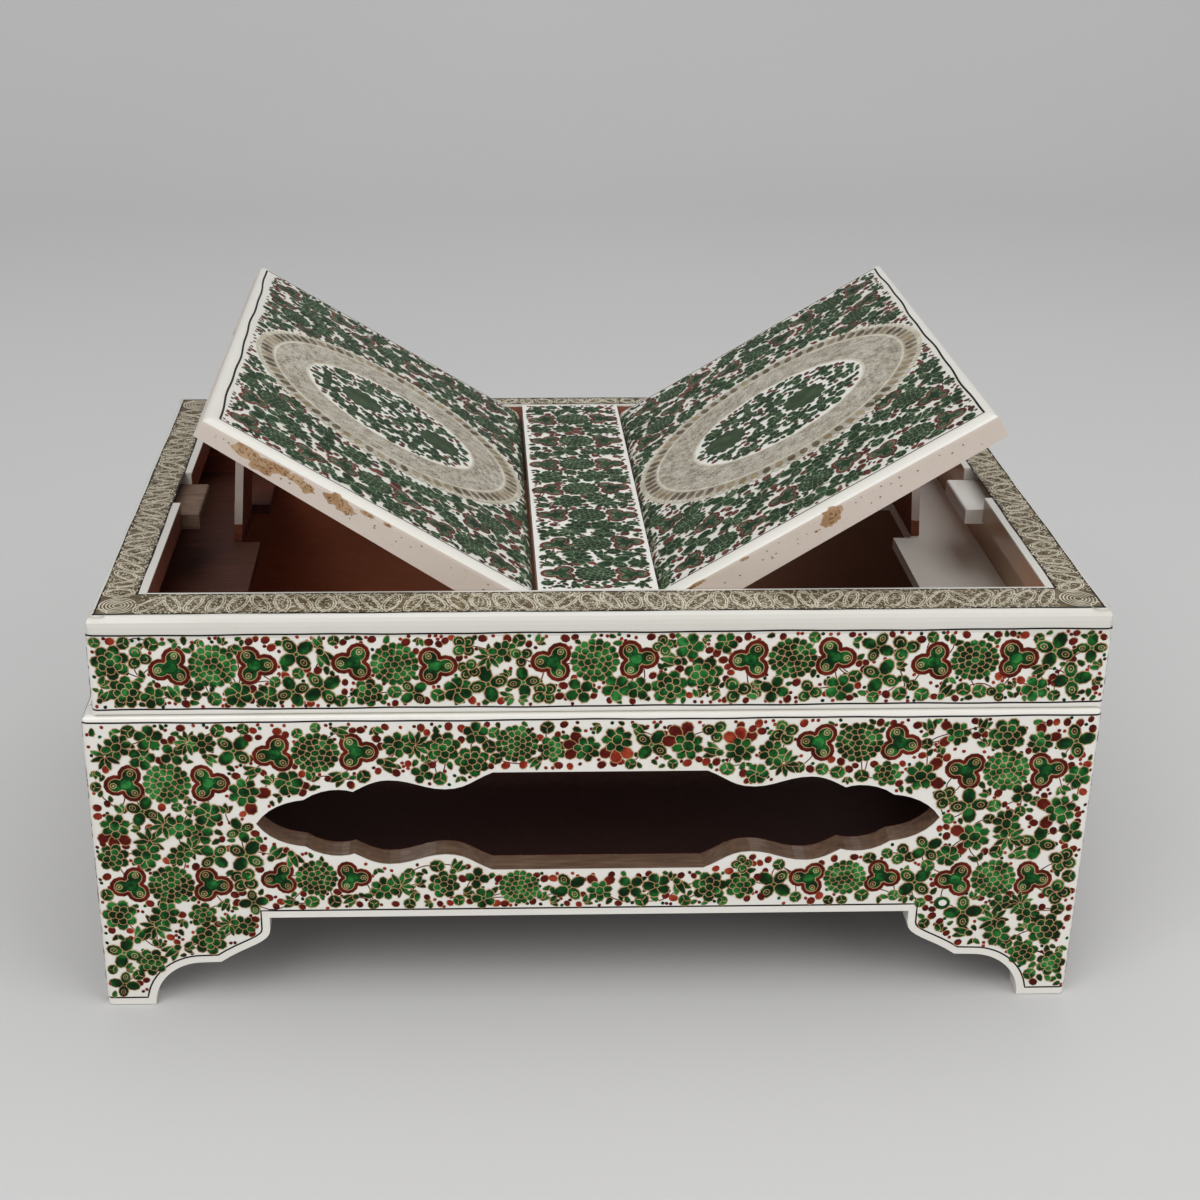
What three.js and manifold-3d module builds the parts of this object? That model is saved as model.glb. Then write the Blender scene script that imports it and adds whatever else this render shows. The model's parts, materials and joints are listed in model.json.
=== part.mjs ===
// Papier-mache box whose lid carries two leaves that open into a sloping rest.
// Millimetres, +Z up, +X to the right and -Y to the front. The origin is on the surface the
// feet stand on, at the middle of the outline.
import * as THREE from 'three';
import { mergeVertices } from 'three/addons/utils/BufferGeometryUtils.js';
import Module from 'manifold-3d';

const wasm = await Module();
wasm.setup();

// Base case
const baseWidth = 356;
const overallDepth = 243;
const baseHeight = 119.2;
const boardThickness = 10;
const baseRimEase = 2.6;
const cornerEase = 2.4;
const floorTop = 46;
const floorThickness = 6;
const grooveDepth = 4;

// Bracket feet, measured from the end of a board
const apronHeight = 37;
const footReach = 61.5;
const footStep = 5;
const footCusp = { along: 43, height: 18.2 };
const footArcRadius = 18;
const footWidth = 18;
const blockLeg = 7.5;
const blockLift = 1;

// Cartouche window in the front board
const windowHalfLength = 122;
const windowHalfHeight = 20;
const windowHeight = 76.2;
const windowShift = 2.5;

// Lid, whose frame is a little narrower than the base and sits a little to the right
const lidInset = 2;
const lidHeight = 37.1;
const lidShift = 2;
const lidFrontSetback = 0.6;
const partingGap = 0.3;
const lidEdgeEase = 1;
const railThickness = 10;
const frontRailWidth = 20.9;
const backRailWidth = 13;
const sideRailWidth = 18.6;
const railBevelAcross = 3.1;
const railBevelDrop = 5.5;

// Centre strip and its dowels
const stripWidth = 42.2;
const stripThickness = 10;
const dowelRadius = 2.5;
const dowelLength = 20;

// Leaves
const leafRootThickness = 13;
const leftLeafTipThickness = 8.3;
const rightLeafTipThickness = 10;
const leafRootGap = 1.2;
const leafTipGap = 2.2;
const leafEndGap = 0.6;
const leafEdgeAcross = 4;
const leafEdgeDrop = 3;
const leafRestAngle = THREE.MathUtils.degToRad(31.2);
const leafPinRadius = 1.5;
const leafPinLength = 20;
const leafPinInRail = 8;

// Rest tabs let into the side rails, and the leaf's lip over each
const tabLength = 33.5;
const tabCentre = 4.2;
const tabInRail = 6.3;
const tabInOpening = 6.9;
const tabThickness = 6;
const tabEase = 1;
const tabDrop = 5;
const lipClearance = 1.2;

// Ledges along the lid's sides, notched for the props
const ledgeWidth = 34.2;
const ledgeThickness = 4.5;
const ledgeRise = 5;
const ledgeNotchDepth = 7.4;
const ledgeNotchMargin = 1.5;

// Props that stand on the ledges and hold the leaves up
const propThickness = 3.3;
const propWidth = 40;
const propFront = 26.5;
const propFootInset = 35;
const propTipInset = 9.4;

// Brass butt hinges
const lidHinge = {
  length: 38, plateWidth: 8.6, plateThickness: 1.2, halfOpening: partingGap / 2,
  knuckleRadius: 2.5, pinRadius: 1, knuckles: 5, screwLength: 8, screwRadius: 0.9, headRadius: 1.7,
};
const lidHingeInset = 66;
const propHinge = {
  length: 30, plateWidth: 9, plateThickness: 0.9, halfOpening: 1.2,
  knuckleRadius: 1.9, pinRadius: 0.7, knuckles: 3, screwLength: 3, screwRadius: 0.6, headRadius: 1.2,
};

// Clearances: glued faces, rods in bores, parts that only rest on each other
const glueGap = 0.2;
const boreGap = 0.1;
const seatGap = 0.3;
const overrun = 1;
const roundSteps = 5;

// Places worked out from the sizes above
const frontFace = -overallDepth / 2;
const hingeAxisY = overallDepth / 2 - lidHinge.knuckleRadius;
const backFace = hingeAxisY;
const hingeAxisZ = baseHeight + partingGap / 2;
const baseHalf = baseWidth / 2;
const insideFront = frontFace + boardThickness;
const insideBack = backFace - boardThickness;
const lidHalf = baseHalf - lidInset;
const lidFront = frontFace + lidFrontSetback;
const lidBack = backFace;
const lidBottom = baseHeight + partingGap;
const lidTop = lidBottom + lidHeight;
const railBottom = lidTop - railThickness;
const openHalf = lidHalf - sideRailWidth;
const openFront = lidFront + frontRailWidth;
const openBack = lidBack - backRailWidth;
const rootRadius = leafRootThickness / 2;
const pivotPlace = stripWidth / 2 + leafRootGap + rootRadius;
const pivotHeight = lidTop - rootRadius;
const leafReach = openHalf - leafTipGap - pivotPlace;
const leafFront = openFront + leafEndGap;
const leafBack = openBack - leafEndGap;
const tabTop = lidTop - tabDrop;
const ledgeTop = lidBottom + ledgeRise;
const ledgeInner = lidHalf - boardThickness - glueGap - ledgeWidth;
const propHingeDrop = propHinge.halfOpening + propHinge.plateThickness + boreGap;
const propOffset = propHingeDrop + propThickness / 2;
const propBack = propFront + propWidth;
const propFootPlace = lidHalf - propFootInset;
const propPivotReach = leafReach - propTipInset;
const lidHingePlace = lidHalf - lidHingeInset;

const finish = (color, roughness, metalness = 0) =>
  new THREE.MeshStandardMaterial({ color, roughness, metalness });
const lacquer = finish(0xd9d6cb, 0.35);
const stainedWood = finish(0x4a2b1f, 0.6);
const bareWood = finish(0xb98f62, 0.7);
const brass = finish(0xb08d4a, 0.35, 1);

// Solids
function solidOf(geometry) {
  geometry.deleteAttribute('normal');
  geometry.deleteAttribute('uv');
  const merged = mergeVertices(geometry, 1e-4);
  const vertProperties = merged.attributes.position.array;
  const triVerts = Uint32Array.from(merged.index.array);
  return new wasm.Manifold(new wasm.Mesh({ numProp: 3, vertProperties, triVerts }));
}

function geometryOf(solid, mirrored) {
  const { vertProperties, triVerts } = solid.getMesh();
  const geometry = new THREE.BufferGeometry();
  const points = Float32Array.from(vertProperties);
  const faces = Uint32Array.from(triVerts);
  if (mirrored) {
    for (let i = 0; i < points.length; i += 3) points[i] = -points[i];
    for (let i = 0; i < faces.length; i += 3) [faces[i], faces[i + 1]] = [faces[i + 1], faces[i]];
  }
  geometry.setAttribute('position', new THREE.BufferAttribute(points, 3));
  geometry.setIndex(new THREE.BufferAttribute(faces, 1));
  geometry.computeVertexNormals();
  return geometry;
}

function block([x0, x1], [y0, y1], [z0, z1]) {
  const geometry = new THREE.BoxGeometry(x1 - x0, y1 - y0, z1 - z0);
  geometry.translate((x0 + x1) / 2, (y0 + y1) / 2, (z0 + z1) / 2);
  return solidOf(geometry);
}

// A rod along Y, from y0 to y1, through (x, z)
function rodAlongY(radius, [y0, y1], x, z, sides = 16) {
  const geometry = new THREE.CylinderGeometry(radius, radius, y1 - y0, sides);
  geometry.translate(x, (y0 + y1) / 2, z);
  return solidOf(geometry);
}

// An outline in X and Z, carried along Y from y0 to y1
function slabAlongY(shape, [y0, y1], curveSegments = 6) {
  const geometry = new THREE.ExtrudeGeometry(shape, { depth: y1 - y0, bevelEnabled: false, curveSegments });
  geometry.rotateX(Math.PI / 2);
  geometry.translate(0, y1, 0);
  return solidOf(geometry);
}

// An outline in X and Y, carried up from z0 to z1
function slabUp(shape, [z0, z1]) {
  const geometry = new THREE.ExtrudeGeometry(shape, { depth: z1 - z0, bevelEnabled: false });
  geometry.translate(0, 0, z0);
  return solidOf(geometry);
}

const ordered = (a, b) => [Math.min(a, b), Math.max(a, b)];

function polygon(points) {
  return new THREE.Shape(points.map(([x, y]) => new THREE.Vector2(x, y)));
}

// Takes the corner off an edge: sideA and sideB point from the edge into the two faces
function easeEdge(solid, start, end, sideA, sideB, across, down = across) {
  const a = new THREE.Vector3(...sideA);
  const b = new THREE.Vector3(...sideB);
  const along = new THREE.Vector3().crossVectors(a, b);
  const from = new THREE.Vector3(...start);
  const to = new THREE.Vector3(...end);
  const run = to.clone().sub(from);
  const origin = along.dot(run) > 0 ? from : to;
  const outline = [[-overrun, -overrun], [across, -overrun]];
  for (let i = 0; i <= roundSteps; i += 1) {
    const turn = (i / roundSteps) * Math.PI / 2;
    outline.push([across * (1 - Math.sin(turn)), down * (1 - Math.cos(turn))]);
  }
  outline.push([-overrun, down]);
  const depth = run.length() + 2 * overrun;
  const geometry = new THREE.ExtrudeGeometry(polygon(outline), { depth, bevelEnabled: false });
  geometry.translate(0, 0, -overrun);
  geometry.applyMatrix4(new THREE.Matrix4().makeBasis(a, b, along).setPosition(origin));
  return solid.subtract(solidOf(geometry));
}

const box = new THREE.Group();

function addPiece(parent, name, solid, material, mirrored = false) {
  const mesh = new THREE.Mesh(geometryOf(solid, mirrored), material.clone());
  mesh.name = name;
  parent.add(mesh);
}

// Butt hinge, closed, its axis along Y, both plates towards -X, one above and one below the axis
function hingePlate(size, upper) {
  const { length, plateWidth, plateThickness, halfOpening, knuckleRadius, pinRadius, knuckles } = size;
  const side = upper ? 1 : -1;
  const faces = ordered(side * halfOpening, side * (halfOpening + plateThickness));
  let plate = block([-plateWidth, 0], [-length / 2, length / 2], faces);
  const pitch = length / knuckles;
  for (let i = 0; i < knuckles; i += 1) {
    const start = -length / 2 + i * pitch;
    const span = [start, start + pitch];
    const own = (i % 2 === 0) === upper;
    if (own) {
      plate = plate.add(rodAlongY(knuckleRadius, span, 0, 0));
    }
  }
  for (let i = 0; i < knuckles; i += 1) {
    const start = -length / 2 + i * pitch;
    const own = (i % 2 === 0) === upper;
    const span = [start - boreGap, start + pitch + boreGap];
    if (!own) {
      plate = plate.subtract(rodAlongY(knuckleRadius + seatGap, span, 0, 0));
    }
  }
  const bore = [-length / 2 - overrun, length / 2 + overrun];
  plate = plate.subtract(rodAlongY(pinRadius + boreGap, bore, 0, 0));
  return screwPlaces(size).reduce(
    (solid, place) => solid.subtract(screw(size, place, upper, boreGap)), plate);
}

function hingePin(size) {
  return rodAlongY(size.pinRadius, [-size.length / 2, size.length / 2], 0, 0);
}

function screwPlaces({ length, plateWidth }) {
  return [-1, 1].map((end) => [-plateWidth * 0.66, end * length * 0.3]);
}

// A countersunk screw, its head flush in the plate's inner face
function screw(size, [x, y], upper, extra = 0) {
  const head = size.headRadius + extra;
  const shank = size.screwRadius + extra;
  const tip = size.screwLength + extra;
  const profile = [
    [0, -extra], [head, -extra], [head, 0.1], [shank, head - shank + 0.1], [shank, tip - shank],
    [0, tip],
  ];
  const geometry = new THREE.LatheGeometry(profile.map(([r, h]) => new THREE.Vector2(r, h)), 10);
  geometry.rotateX(upper ? Math.PI / 2 : -Math.PI / 2);
  geometry.translate(x, y, upper ? size.halfOpening : -size.halfOpening);
  return solidOf(geometry);
}

// What a hinge let into the wood takes away: its plate, its knuckle and its screws
function hingeMortise(size, upper) {
  const deep = size.halfOpening + size.plateThickness + boreGap;
  const depth = upper ? [-size.halfOpening, deep] : [-deep, size.halfOpening];
  const span = [-size.length / 2 - seatGap, size.length / 2 + seatGap];
  const recess = block([-size.plateWidth - seatGap, overrun], span, depth)
    .add(rodAlongY(size.knuckleRadius + seatGap, span, 0, 0));
  return screwPlaces(size).reduce(
    (solid, place) => solid.add(screw(size, place, upper, boreGap)), recess);
}

// Turns a hinge made along Y to lie along X at the back of the box
function atBack(solid, x) {
  const turned = geometryOf(solid, false);
  turned.rotateZ(Math.PI / 2);
  turned.translate(x, hingeAxisY, hingeAxisZ);
  return solidOf(turned);
}

const lidHingePlaces = [
  { name: 'left', x: lidShift - lidHingePlace },
  { name: 'right', x: lidShift + lidHingePlace },
];

// One bracket foot's outline, from its inner toe up to the apron, measured from the board's end
function footOutline() {
  const drop = apronHeight - footStep;
  const fall = drop - footCusp.height;
  const path = new THREE.Path();
  path.moveTo(footWidth, 0);
  path.absarc(footWidth + footArcRadius, 0, footArcRadius, Math.PI, Math.PI / 2, true);
  path.lineTo(footCusp.along, footCusp.height);
  path.bezierCurveTo(
    (footReach + footCusp.along) / 2, footCusp.height + fall * 0.5,
    footReach, drop - fall * 0.43, footReach, drop);
  path.lineTo(footReach, apronHeight);
  return path.getPoints(8).map(({ x, y }) => [x, y]);
}

// A board on two bracket feet, from one end to the other, as an outline in X and Z
function boardShape(left, right) {
  const foot = footOutline();
  return polygon([
    [left, baseHeight], [left, 0],
    ...foot.map(([along, height]) => [left + along, height]),
    ...foot.map(([along, height]) => [right - along, height]).reverse(),
    [right, 0], [right, baseHeight],
  ]);
}

// The window's outline: a flat middle, then three lobes running out to a point at each end
function windowOutline() {
  const flat = 0.311;
  const quarter = new THREE.Path();
  quarter.moveTo(flat, 1);
  quarter.bezierCurveTo(0.37, 0.85, 0.385, 0.67, 0.45, 0.67);
  quarter.bezierCurveTo(0.51, 0.67, 0.55, 0.87, 0.615, 0.86);
  quarter.bezierCurveTo(0.656, 0.86, 0.689, 0.725, 0.716, 0.635);
  quarter.bezierCurveTo(0.746, 0.71, 0.811, 0.71, 0.859, 0.48);
  quarter.bezierCurveTo(0.91, 0.45, 0.967, 0.325, 1, 0);
  const out = quarter.getPoints(6);
  const tip = out.pop();
  const back = [...out].reverse();
  const place = (points, side, rise) => points.map(({ x, y }) => new THREE.Vector2(
    windowShift + side * x * windowHalfLength, windowHeight + rise * y * windowHalfHeight));
  return new THREE.Path([
    ...place([...out, tip], 1, 1), ...place(back, 1, -1),
    ...place([...out, tip], -1, -1), ...place(back, -1, 1),
  ]);
}

const grooveLevel = [floorTop - floorThickness - boreGap, floorTop + boreGap];
const grooveSide = baseHalf - boardThickness + grooveDepth;

function endBoard(face, inner, pierced) {
  const shape = boardShape(-baseHalf, baseHalf);
  if (pierced) shape.holes.push(windowOutline());
  const outward = Math.sign(face);
  let board = slabAlongY(shape, ordered(face, inner));
  const into = [0, -outward, 0];
  const rim = [[-baseHalf, face, baseHeight], [baseHalf, face, baseHeight]];
  board = easeEdge(board, ...rim, into, [0, 0, -1], baseRimEase);
  for (const side of [-1, 1]) {
    const corner = [[side * baseHalf, face, 0], [side * baseHalf, face, baseHeight]];
    board = easeEdge(board, ...corner, [-side, 0, 0], into, cornerEase);
    const top = [[side * baseHalf, face, baseHeight], [side * baseHalf, inner, baseHeight]];
    board = easeEdge(board, ...top, [-side, 0, 0], [0, 0, -1], baseRimEase);
  }
  const groove = ordered(inner + outward * grooveDepth, inner - outward * overrun);
  return board.subtract(block([-grooveSide, grooveSide], groove, grooveLevel));
}

function frontPanel() {
  return endBoard(frontFace, insideFront, true);
}

function backPanel() {
  return lidHingePlaces.reduce(
    (board, { x }) => board.subtract(atBack(hingeMortise(lidHinge, false), x)),
    endBoard(backFace, insideBack, false));
}

// The right side board, between the front and back boards, its feet measured to the outer corners
function sidePanel() {
  const whole = slabAlongY(boardShape(-backFace, -frontFace), [baseHalf - boardThickness, baseHalf]);
  const turned = geometryOf(whole, false);
  turned.rotateZ(-Math.PI / 2);
  const length = [insideFront + glueGap, insideBack - glueGap];
  const keep = block([0, baseWidth], length, [-overrun, baseHeight + overrun]);
  let board = solidOf(turned).intersect(keep);
  const rim = [[baseHalf, length[0], baseHeight], [baseHalf, length[1], baseHeight]];
  board = easeEdge(board, ...rim, [-1, 0, 0], [0, 0, -1], baseRimEase);
  const inner = baseHalf - boardThickness;
  return board.subtract(block([inner - overrun, inner + grooveDepth],
    [length[0] - overrun, length[1] + overrun], grooveLevel));
}

function floorBoard() {
  const side = grooveSide - seatGap;
  const front = insideFront - grooveDepth + seatGap;
  const back = insideBack + grooveDepth - seatGap;
  return block([-side, side], [front, back], [floorTop - floorThickness, floorTop]);
}

// A glue block behind one bracket foot, filling the inner corner
function footBlock(side, y, outward) {
  const x = side * (baseHalf - boardThickness - glueGap);
  const face = y - outward * glueGap;
  const shape = polygon([[x, face], [x - side * blockLeg, face], [x, face - outward * blockLeg]]);
  return slabUp(shape, [blockLift, floorTop - floorThickness - glueGap]);
}

function addBase() {
  addPiece(box, 'base_front_panel', frontPanel(), lacquer);
  addPiece(box, 'base_back_panel', backPanel(), lacquer);
  addPiece(box, 'base_left_panel', sidePanel(), lacquer, true);
  addPiece(box, 'base_right_panel', sidePanel(), lacquer);
  addPiece(box, 'base_floor', floorBoard(), stainedWood);
  for (const [sideName, side] of [['left', -1], ['right', 1]]) {
    addPiece(box, `foot_block_front_${sideName}`, footBlock(side, insideFront, -1), bareWood);
    addPiece(box, `foot_block_back_${sideName}`, footBlock(side, insideBack, 1), bareWood);
  }
}

function addLidHinges() {
  for (const { name, x } of lidHingePlaces) {
    const seat = (solid) => atBack(solid, x);
    addPiece(box, `lid_hinge_${name}_base_plate`, seat(hingePlate(lidHinge, false)), brass);
    addPiece(box, `lid_hinge_${name}_lid_plate`, seat(hingePlate(lidHinge, true)), brass);
    addPiece(box, `lid_hinge_${name}_pin`, seat(hingePin(lidHinge)), brass);
    screwPlaces(lidHinge).forEach((place, i) => {
      const [lower, upper] = [false, true].map((above) => seat(screw(lidHinge, place, above)));
      addPiece(box, `lid_hinge_${name}_base_screw_${i + 1}`, lower, brass);
      addPiece(box, `lid_hinge_${name}_lid_screw_${i + 1}`, upper, brass);
    });
  }
}

// Lid: boards below, mitred rails on top. Its pieces are drawn about its own middle.
const lid = new THREE.Group();
lid.position.x = lidShift;
box.add(lid);

const boardLevels = [lidBottom, railBottom - glueGap];

function lidEndBoard(face, outward) {
  const inner = face - outward * boardThickness;
  const into = [0, -outward, 0];
  const span = ordered(face, inner);
  let board = block([-lidHalf, lidHalf], span, boardLevels);
  const foot = [[-lidHalf, face, lidBottom], [lidHalf, face, lidBottom]];
  board = easeEdge(board, ...foot, into, [0, 0, 1], lidEdgeEase);
  for (const side of [-1, 1]) {
    const corner = [[side * lidHalf, face, lidBottom], [side * lidHalf, face, lidTop]];
    board = easeEdge(board, ...corner, [-side, 0, 0], into, cornerEase);
  }
  return board;
}

function lidBackBoard() {
  return lidHingePlaces.reduce(
    (board, { x }) => board.subtract(atBack(hingeMortise(lidHinge, true), x - lidShift)),
    lidEndBoard(lidBack, 1));
}

function lidSideBoard() {
  const inner = lidHalf - boardThickness;
  const span = [lidFront + boardThickness + glueGap, lidBack - boardThickness - glueGap];
  const board = block([inner, lidHalf], span, boardLevels);
  const foot = [[lidHalf, span[0], lidBottom], [lidHalf, span[1], lidBottom]];
  return easeEdge(board, ...foot, [-1, 0, 0], [0, 0, 1], lidEdgeEase);
}

const railLevels = [railBottom, lidTop];

function easeRailCorner(rail, side, face, outward) {
  const corner = [[side * lidHalf, face, railBottom], [side * lidHalf, face, lidTop]];
  return easeEdge(rail, ...corner, [-side, 0, 0], [0, -outward, 0], cornerEase);
}

// A front or back rail: a mitred board, bored for the leaf pins and the strip's dowel
function endRail(face, openEdge, outward) {
  const mitre = glueGap / 2;
  const shape = polygon([
    [-lidHalf + mitre, face], [lidHalf - mitre, face],
    [openHalf - mitre, openEdge], [-openHalf + mitre, openEdge],
  ]);
  let rail = slabUp(shape, railLevels);
  const edge = [[-lidHalf, face, lidTop], [lidHalf, face, lidTop]];
  rail = easeEdge(rail, ...edge, [0, -outward, 0], [0, 0, -1], railBevelAcross, railBevelDrop);
  rail = easeRailCorner(rail, -1, face, outward);
  rail = easeRailCorner(rail, 1, face, outward);
  const boreInto = (depth) => ordered(openEdge - outward * overrun, openEdge + outward * (depth + seatGap));
  const bores = [-pivotPlace, pivotPlace].map((x) =>
    rodAlongY(leafPinRadius + boreGap, boreInto(leafPinInRail), x, pivotHeight));
  bores.push(rodAlongY(dowelRadius + boreGap, boreInto(dowelLength / 2), 0, stripMiddle));
  return bores.reduce((solid, bore) => solid.subtract(bore), rail);
}

const stripMiddle = lidTop - stripThickness / 2;
const tabSpan = [tabCentre - tabLength / 2, tabCentre + tabLength / 2];

// A side rail: mitred at both ends and notched for its rest tab
function sideRail() {
  const mitre = glueGap / 2;
  const shape = polygon([
    [lidHalf, lidFront + mitre], [lidHalf, lidBack - mitre],
    [openHalf, openBack - mitre], [openHalf, openFront + mitre],
  ]);
  let rail = slabUp(shape, railLevels);
  const edge = [[lidHalf, lidFront, lidTop], [lidHalf, lidBack, lidTop]];
  rail = easeEdge(rail, ...edge, [-1, 0, 0], [0, 0, -1], railBevelAcross, railBevelDrop);
  rail = easeRailCorner(rail, 1, lidFront, -1);
  rail = easeRailCorner(rail, 1, lidBack, 1);
  return rail.subtract(block([openHalf - overrun, openHalf + tabInRail + glueGap],
    [tabSpan[0] - glueGap, tabSpan[1] + glueGap], [railBottom - overrun, lidTop + overrun]));
}

function restTab() {
  const inner = openHalf - tabInOpening;
  const tab = block([inner, openHalf + tabInRail], tabSpan, [tabTop - tabThickness, tabTop]);
  const edge = [[inner, tabSpan[0], tabTop], [inner, tabSpan[1], tabTop]];
  return easeEdge(tab, ...edge, [1, 0, 0], [0, 0, -1], tabEase);
}

function propLedge() {
  const span = [lidFront + boardThickness + glueGap, lidBack - boardThickness - glueGap];
  const levels = [ledgeTop - ledgeThickness, ledgeTop];
  const outer = ledgeInner + ledgeWidth;
  const ledge = block([ledgeInner, outer], span, levels);
  return ledge.subtract(block([ledgeInner - overrun, ledgeInner + ledgeNotchDepth],
    [propFront - ledgeNotchMargin, propBack + ledgeNotchMargin],
    [levels[0] - overrun, levels[1] + overrun]));
}

function centreStrip() {
  const span = [openFront + glueGap, openBack - glueGap];
  const half = stripWidth / 2;
  const strip = block([-half, half], span, [lidTop - stripThickness, lidTop]);
  const inside = dowelLength / 2 + seatGap;
  const frontBore = rodAlongY(dowelRadius + boreGap, [span[0] - overrun, openFront + inside], 0, stripMiddle);
  const backBore = rodAlongY(dowelRadius + boreGap, [openBack - inside, span[1] + overrun], 0, stripMiddle);
  return strip.subtract(frontBore).subtract(backBore);
}

function stripDowel(edge) {
  return rodAlongY(dowelRadius, [edge - dowelLength / 2, edge + dowelLength / 2], 0, stripMiddle);
}

function addLid() {
  addPiece(lid, 'lid_front_board', lidEndBoard(lidFront, -1), lacquer);
  addPiece(lid, 'lid_back_board', lidBackBoard(), lacquer);
  addPiece(lid, 'lid_left_board', lidSideBoard(), lacquer, true);
  addPiece(lid, 'lid_right_board', lidSideBoard(), lacquer);
  addPiece(lid, 'frame_front_rail', endRail(lidFront, openFront, -1), lacquer);
  addPiece(lid, 'frame_back_rail', endRail(lidBack, openBack, 1), lacquer);
  addPiece(lid, 'frame_left_rail', sideRail(), lacquer, true);
  addPiece(lid, 'frame_right_rail', sideRail(), lacquer);
  addPiece(lid, 'centre_strip', centreStrip(), lacquer);
  addPiece(lid, 'strip_dowel_front', stripDowel(openFront), bareWood);
  addPiece(lid, 'strip_dowel_back', stripDowel(openBack), bareWood);
  addPiece(lid, 'left_rest_tab', restTab(), bareWood, true);
  addPiece(lid, 'right_rest_tab', restTab(), lacquer);
  addPiece(lid, 'left_prop_ledge', propLedge(), stainedWood, true);
  addPiece(lid, 'right_prop_ledge', propLedge(), lacquer);
}

// A leaf, closed, drawn from its pivot: a wedge with a round root, along +X to its tip
function leafBoard(tipThickness, hingeFrame) {
  const shape = new THREE.Shape();
  shape.moveTo(0, -rootRadius);
  shape.lineTo(leafReach, rootRadius - tipThickness);
  shape.lineTo(leafReach, rootRadius);
  shape.lineTo(0, rootRadius);
  shape.absarc(0, 0, rootRadius, Math.PI / 2, Math.PI * 1.5, false);
  let leaf = slabAlongY(shape, [leafFront, leafBack], 12);
  const top = rootRadius;
  const front = [[-rootRadius, leafFront, top], [leafReach, leafFront, top]];
  const back = [[-rootRadius, leafBack, top], [leafReach, leafBack, top]];
  const tip = [[leafReach, leafFront, top], [leafReach, leafBack, top]];
  leaf = easeEdge(leaf, ...front, [0, 1, 0], [0, 0, -1], leafEdgeAcross, leafEdgeDrop);
  leaf = easeEdge(leaf, ...back, [0, -1, 0], [0, 0, -1], leafEdgeAcross, leafEdgeDrop);
  leaf = easeEdge(leaf, ...tip, [-1, 0, 0], [0, 0, -1], leafEdgeAcross, leafEdgeDrop);
  const overTab = block(
    [openHalf - tabInOpening - pivotPlace - lipClearance, leafReach + overrun],
    [tabSpan[0] - lipClearance, tabSpan[1] + lipClearance],
    [-leafRootThickness, tabTop + seatGap - pivotHeight]);
  leaf = leaf.subtract(overTab);
  const pinInLeaf = leafPinLength - leafPinInRail - leafEndGap;
  const bores = [
    rodAlongY(leafPinRadius + boreGap, [leafFront - overrun, leafFront + pinInLeaf + seatGap], 0, 0),
    rodAlongY(leafPinRadius + boreGap, [leafBack - pinInLeaf - seatGap, leafBack + overrun], 0, 0),
    ...screwPlaces(propHinge).map((place) =>
      placed(screw(propHinge, place, true, boreGap), hingeFrame)),
  ];
  return bores.reduce((solid, bore) => solid.subtract(bore), leaf);
}

// Moves a solid by a frame: turned about Y, then shifted
function placed(solid, { x, y, z, tilt }) {
  const geometry = geometryOf(solid, false);
  geometry.rotateY(-tilt);
  geometry.translate(x, y, z);
  return solidOf(geometry);
}

// Where the prop's hinge sits under a leaf: its axis, and the slope of the leaf's underside
function propHingeFrame(tipThickness) {
  const tilt = Math.atan2(leafRootThickness - tipThickness, leafReach);
  const underside = -rootRadius + propPivotReach * Math.tan(tilt);
  return {
    x: propPivotReach, y: propFront + propWidth / 2,
    z: underside - propHingeDrop / Math.cos(tilt), tilt,
  };
}

// The prop's length, and how far it opens to stand on the ledge with the leaf at its rest angle
function propStance(frame) {
  const [c, s] = [Math.cos(leafRestAngle), Math.sin(leafRestAngle)];
  const axisX = pivotPlace + frame.x * c - frame.z * s;
  const axisZ = pivotHeight + frame.x * s + frame.z * c;
  const down = ledgeTop + seatGap - axisZ;
  const out = propFootPlace - axisX;
  const length = Math.sqrt(down ** 2 + out ** 2 - propOffset ** 2);
  const folded = Math.atan2(-propOffset, -length);
  const opening = Math.atan2(down, out) - folded - leafRestAngle - frame.tilt;
  return { length, opening };
}

// The prop, folded, drawn from its hinge axis: a flat board running back towards -X
function propBoard(length) {
  const top = -propHinge.knuckleRadius - seatGap;
  const faces = [-propHingeDrop - propThickness, -propHingeDrop];
  const board = block([-length, top], [-propWidth / 2, propWidth / 2], faces);
  return screwPlaces(propHinge).reduce(
    (solid, place) => solid.subtract(screw(propHinge, place, false, boreGap)), board);
}

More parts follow.
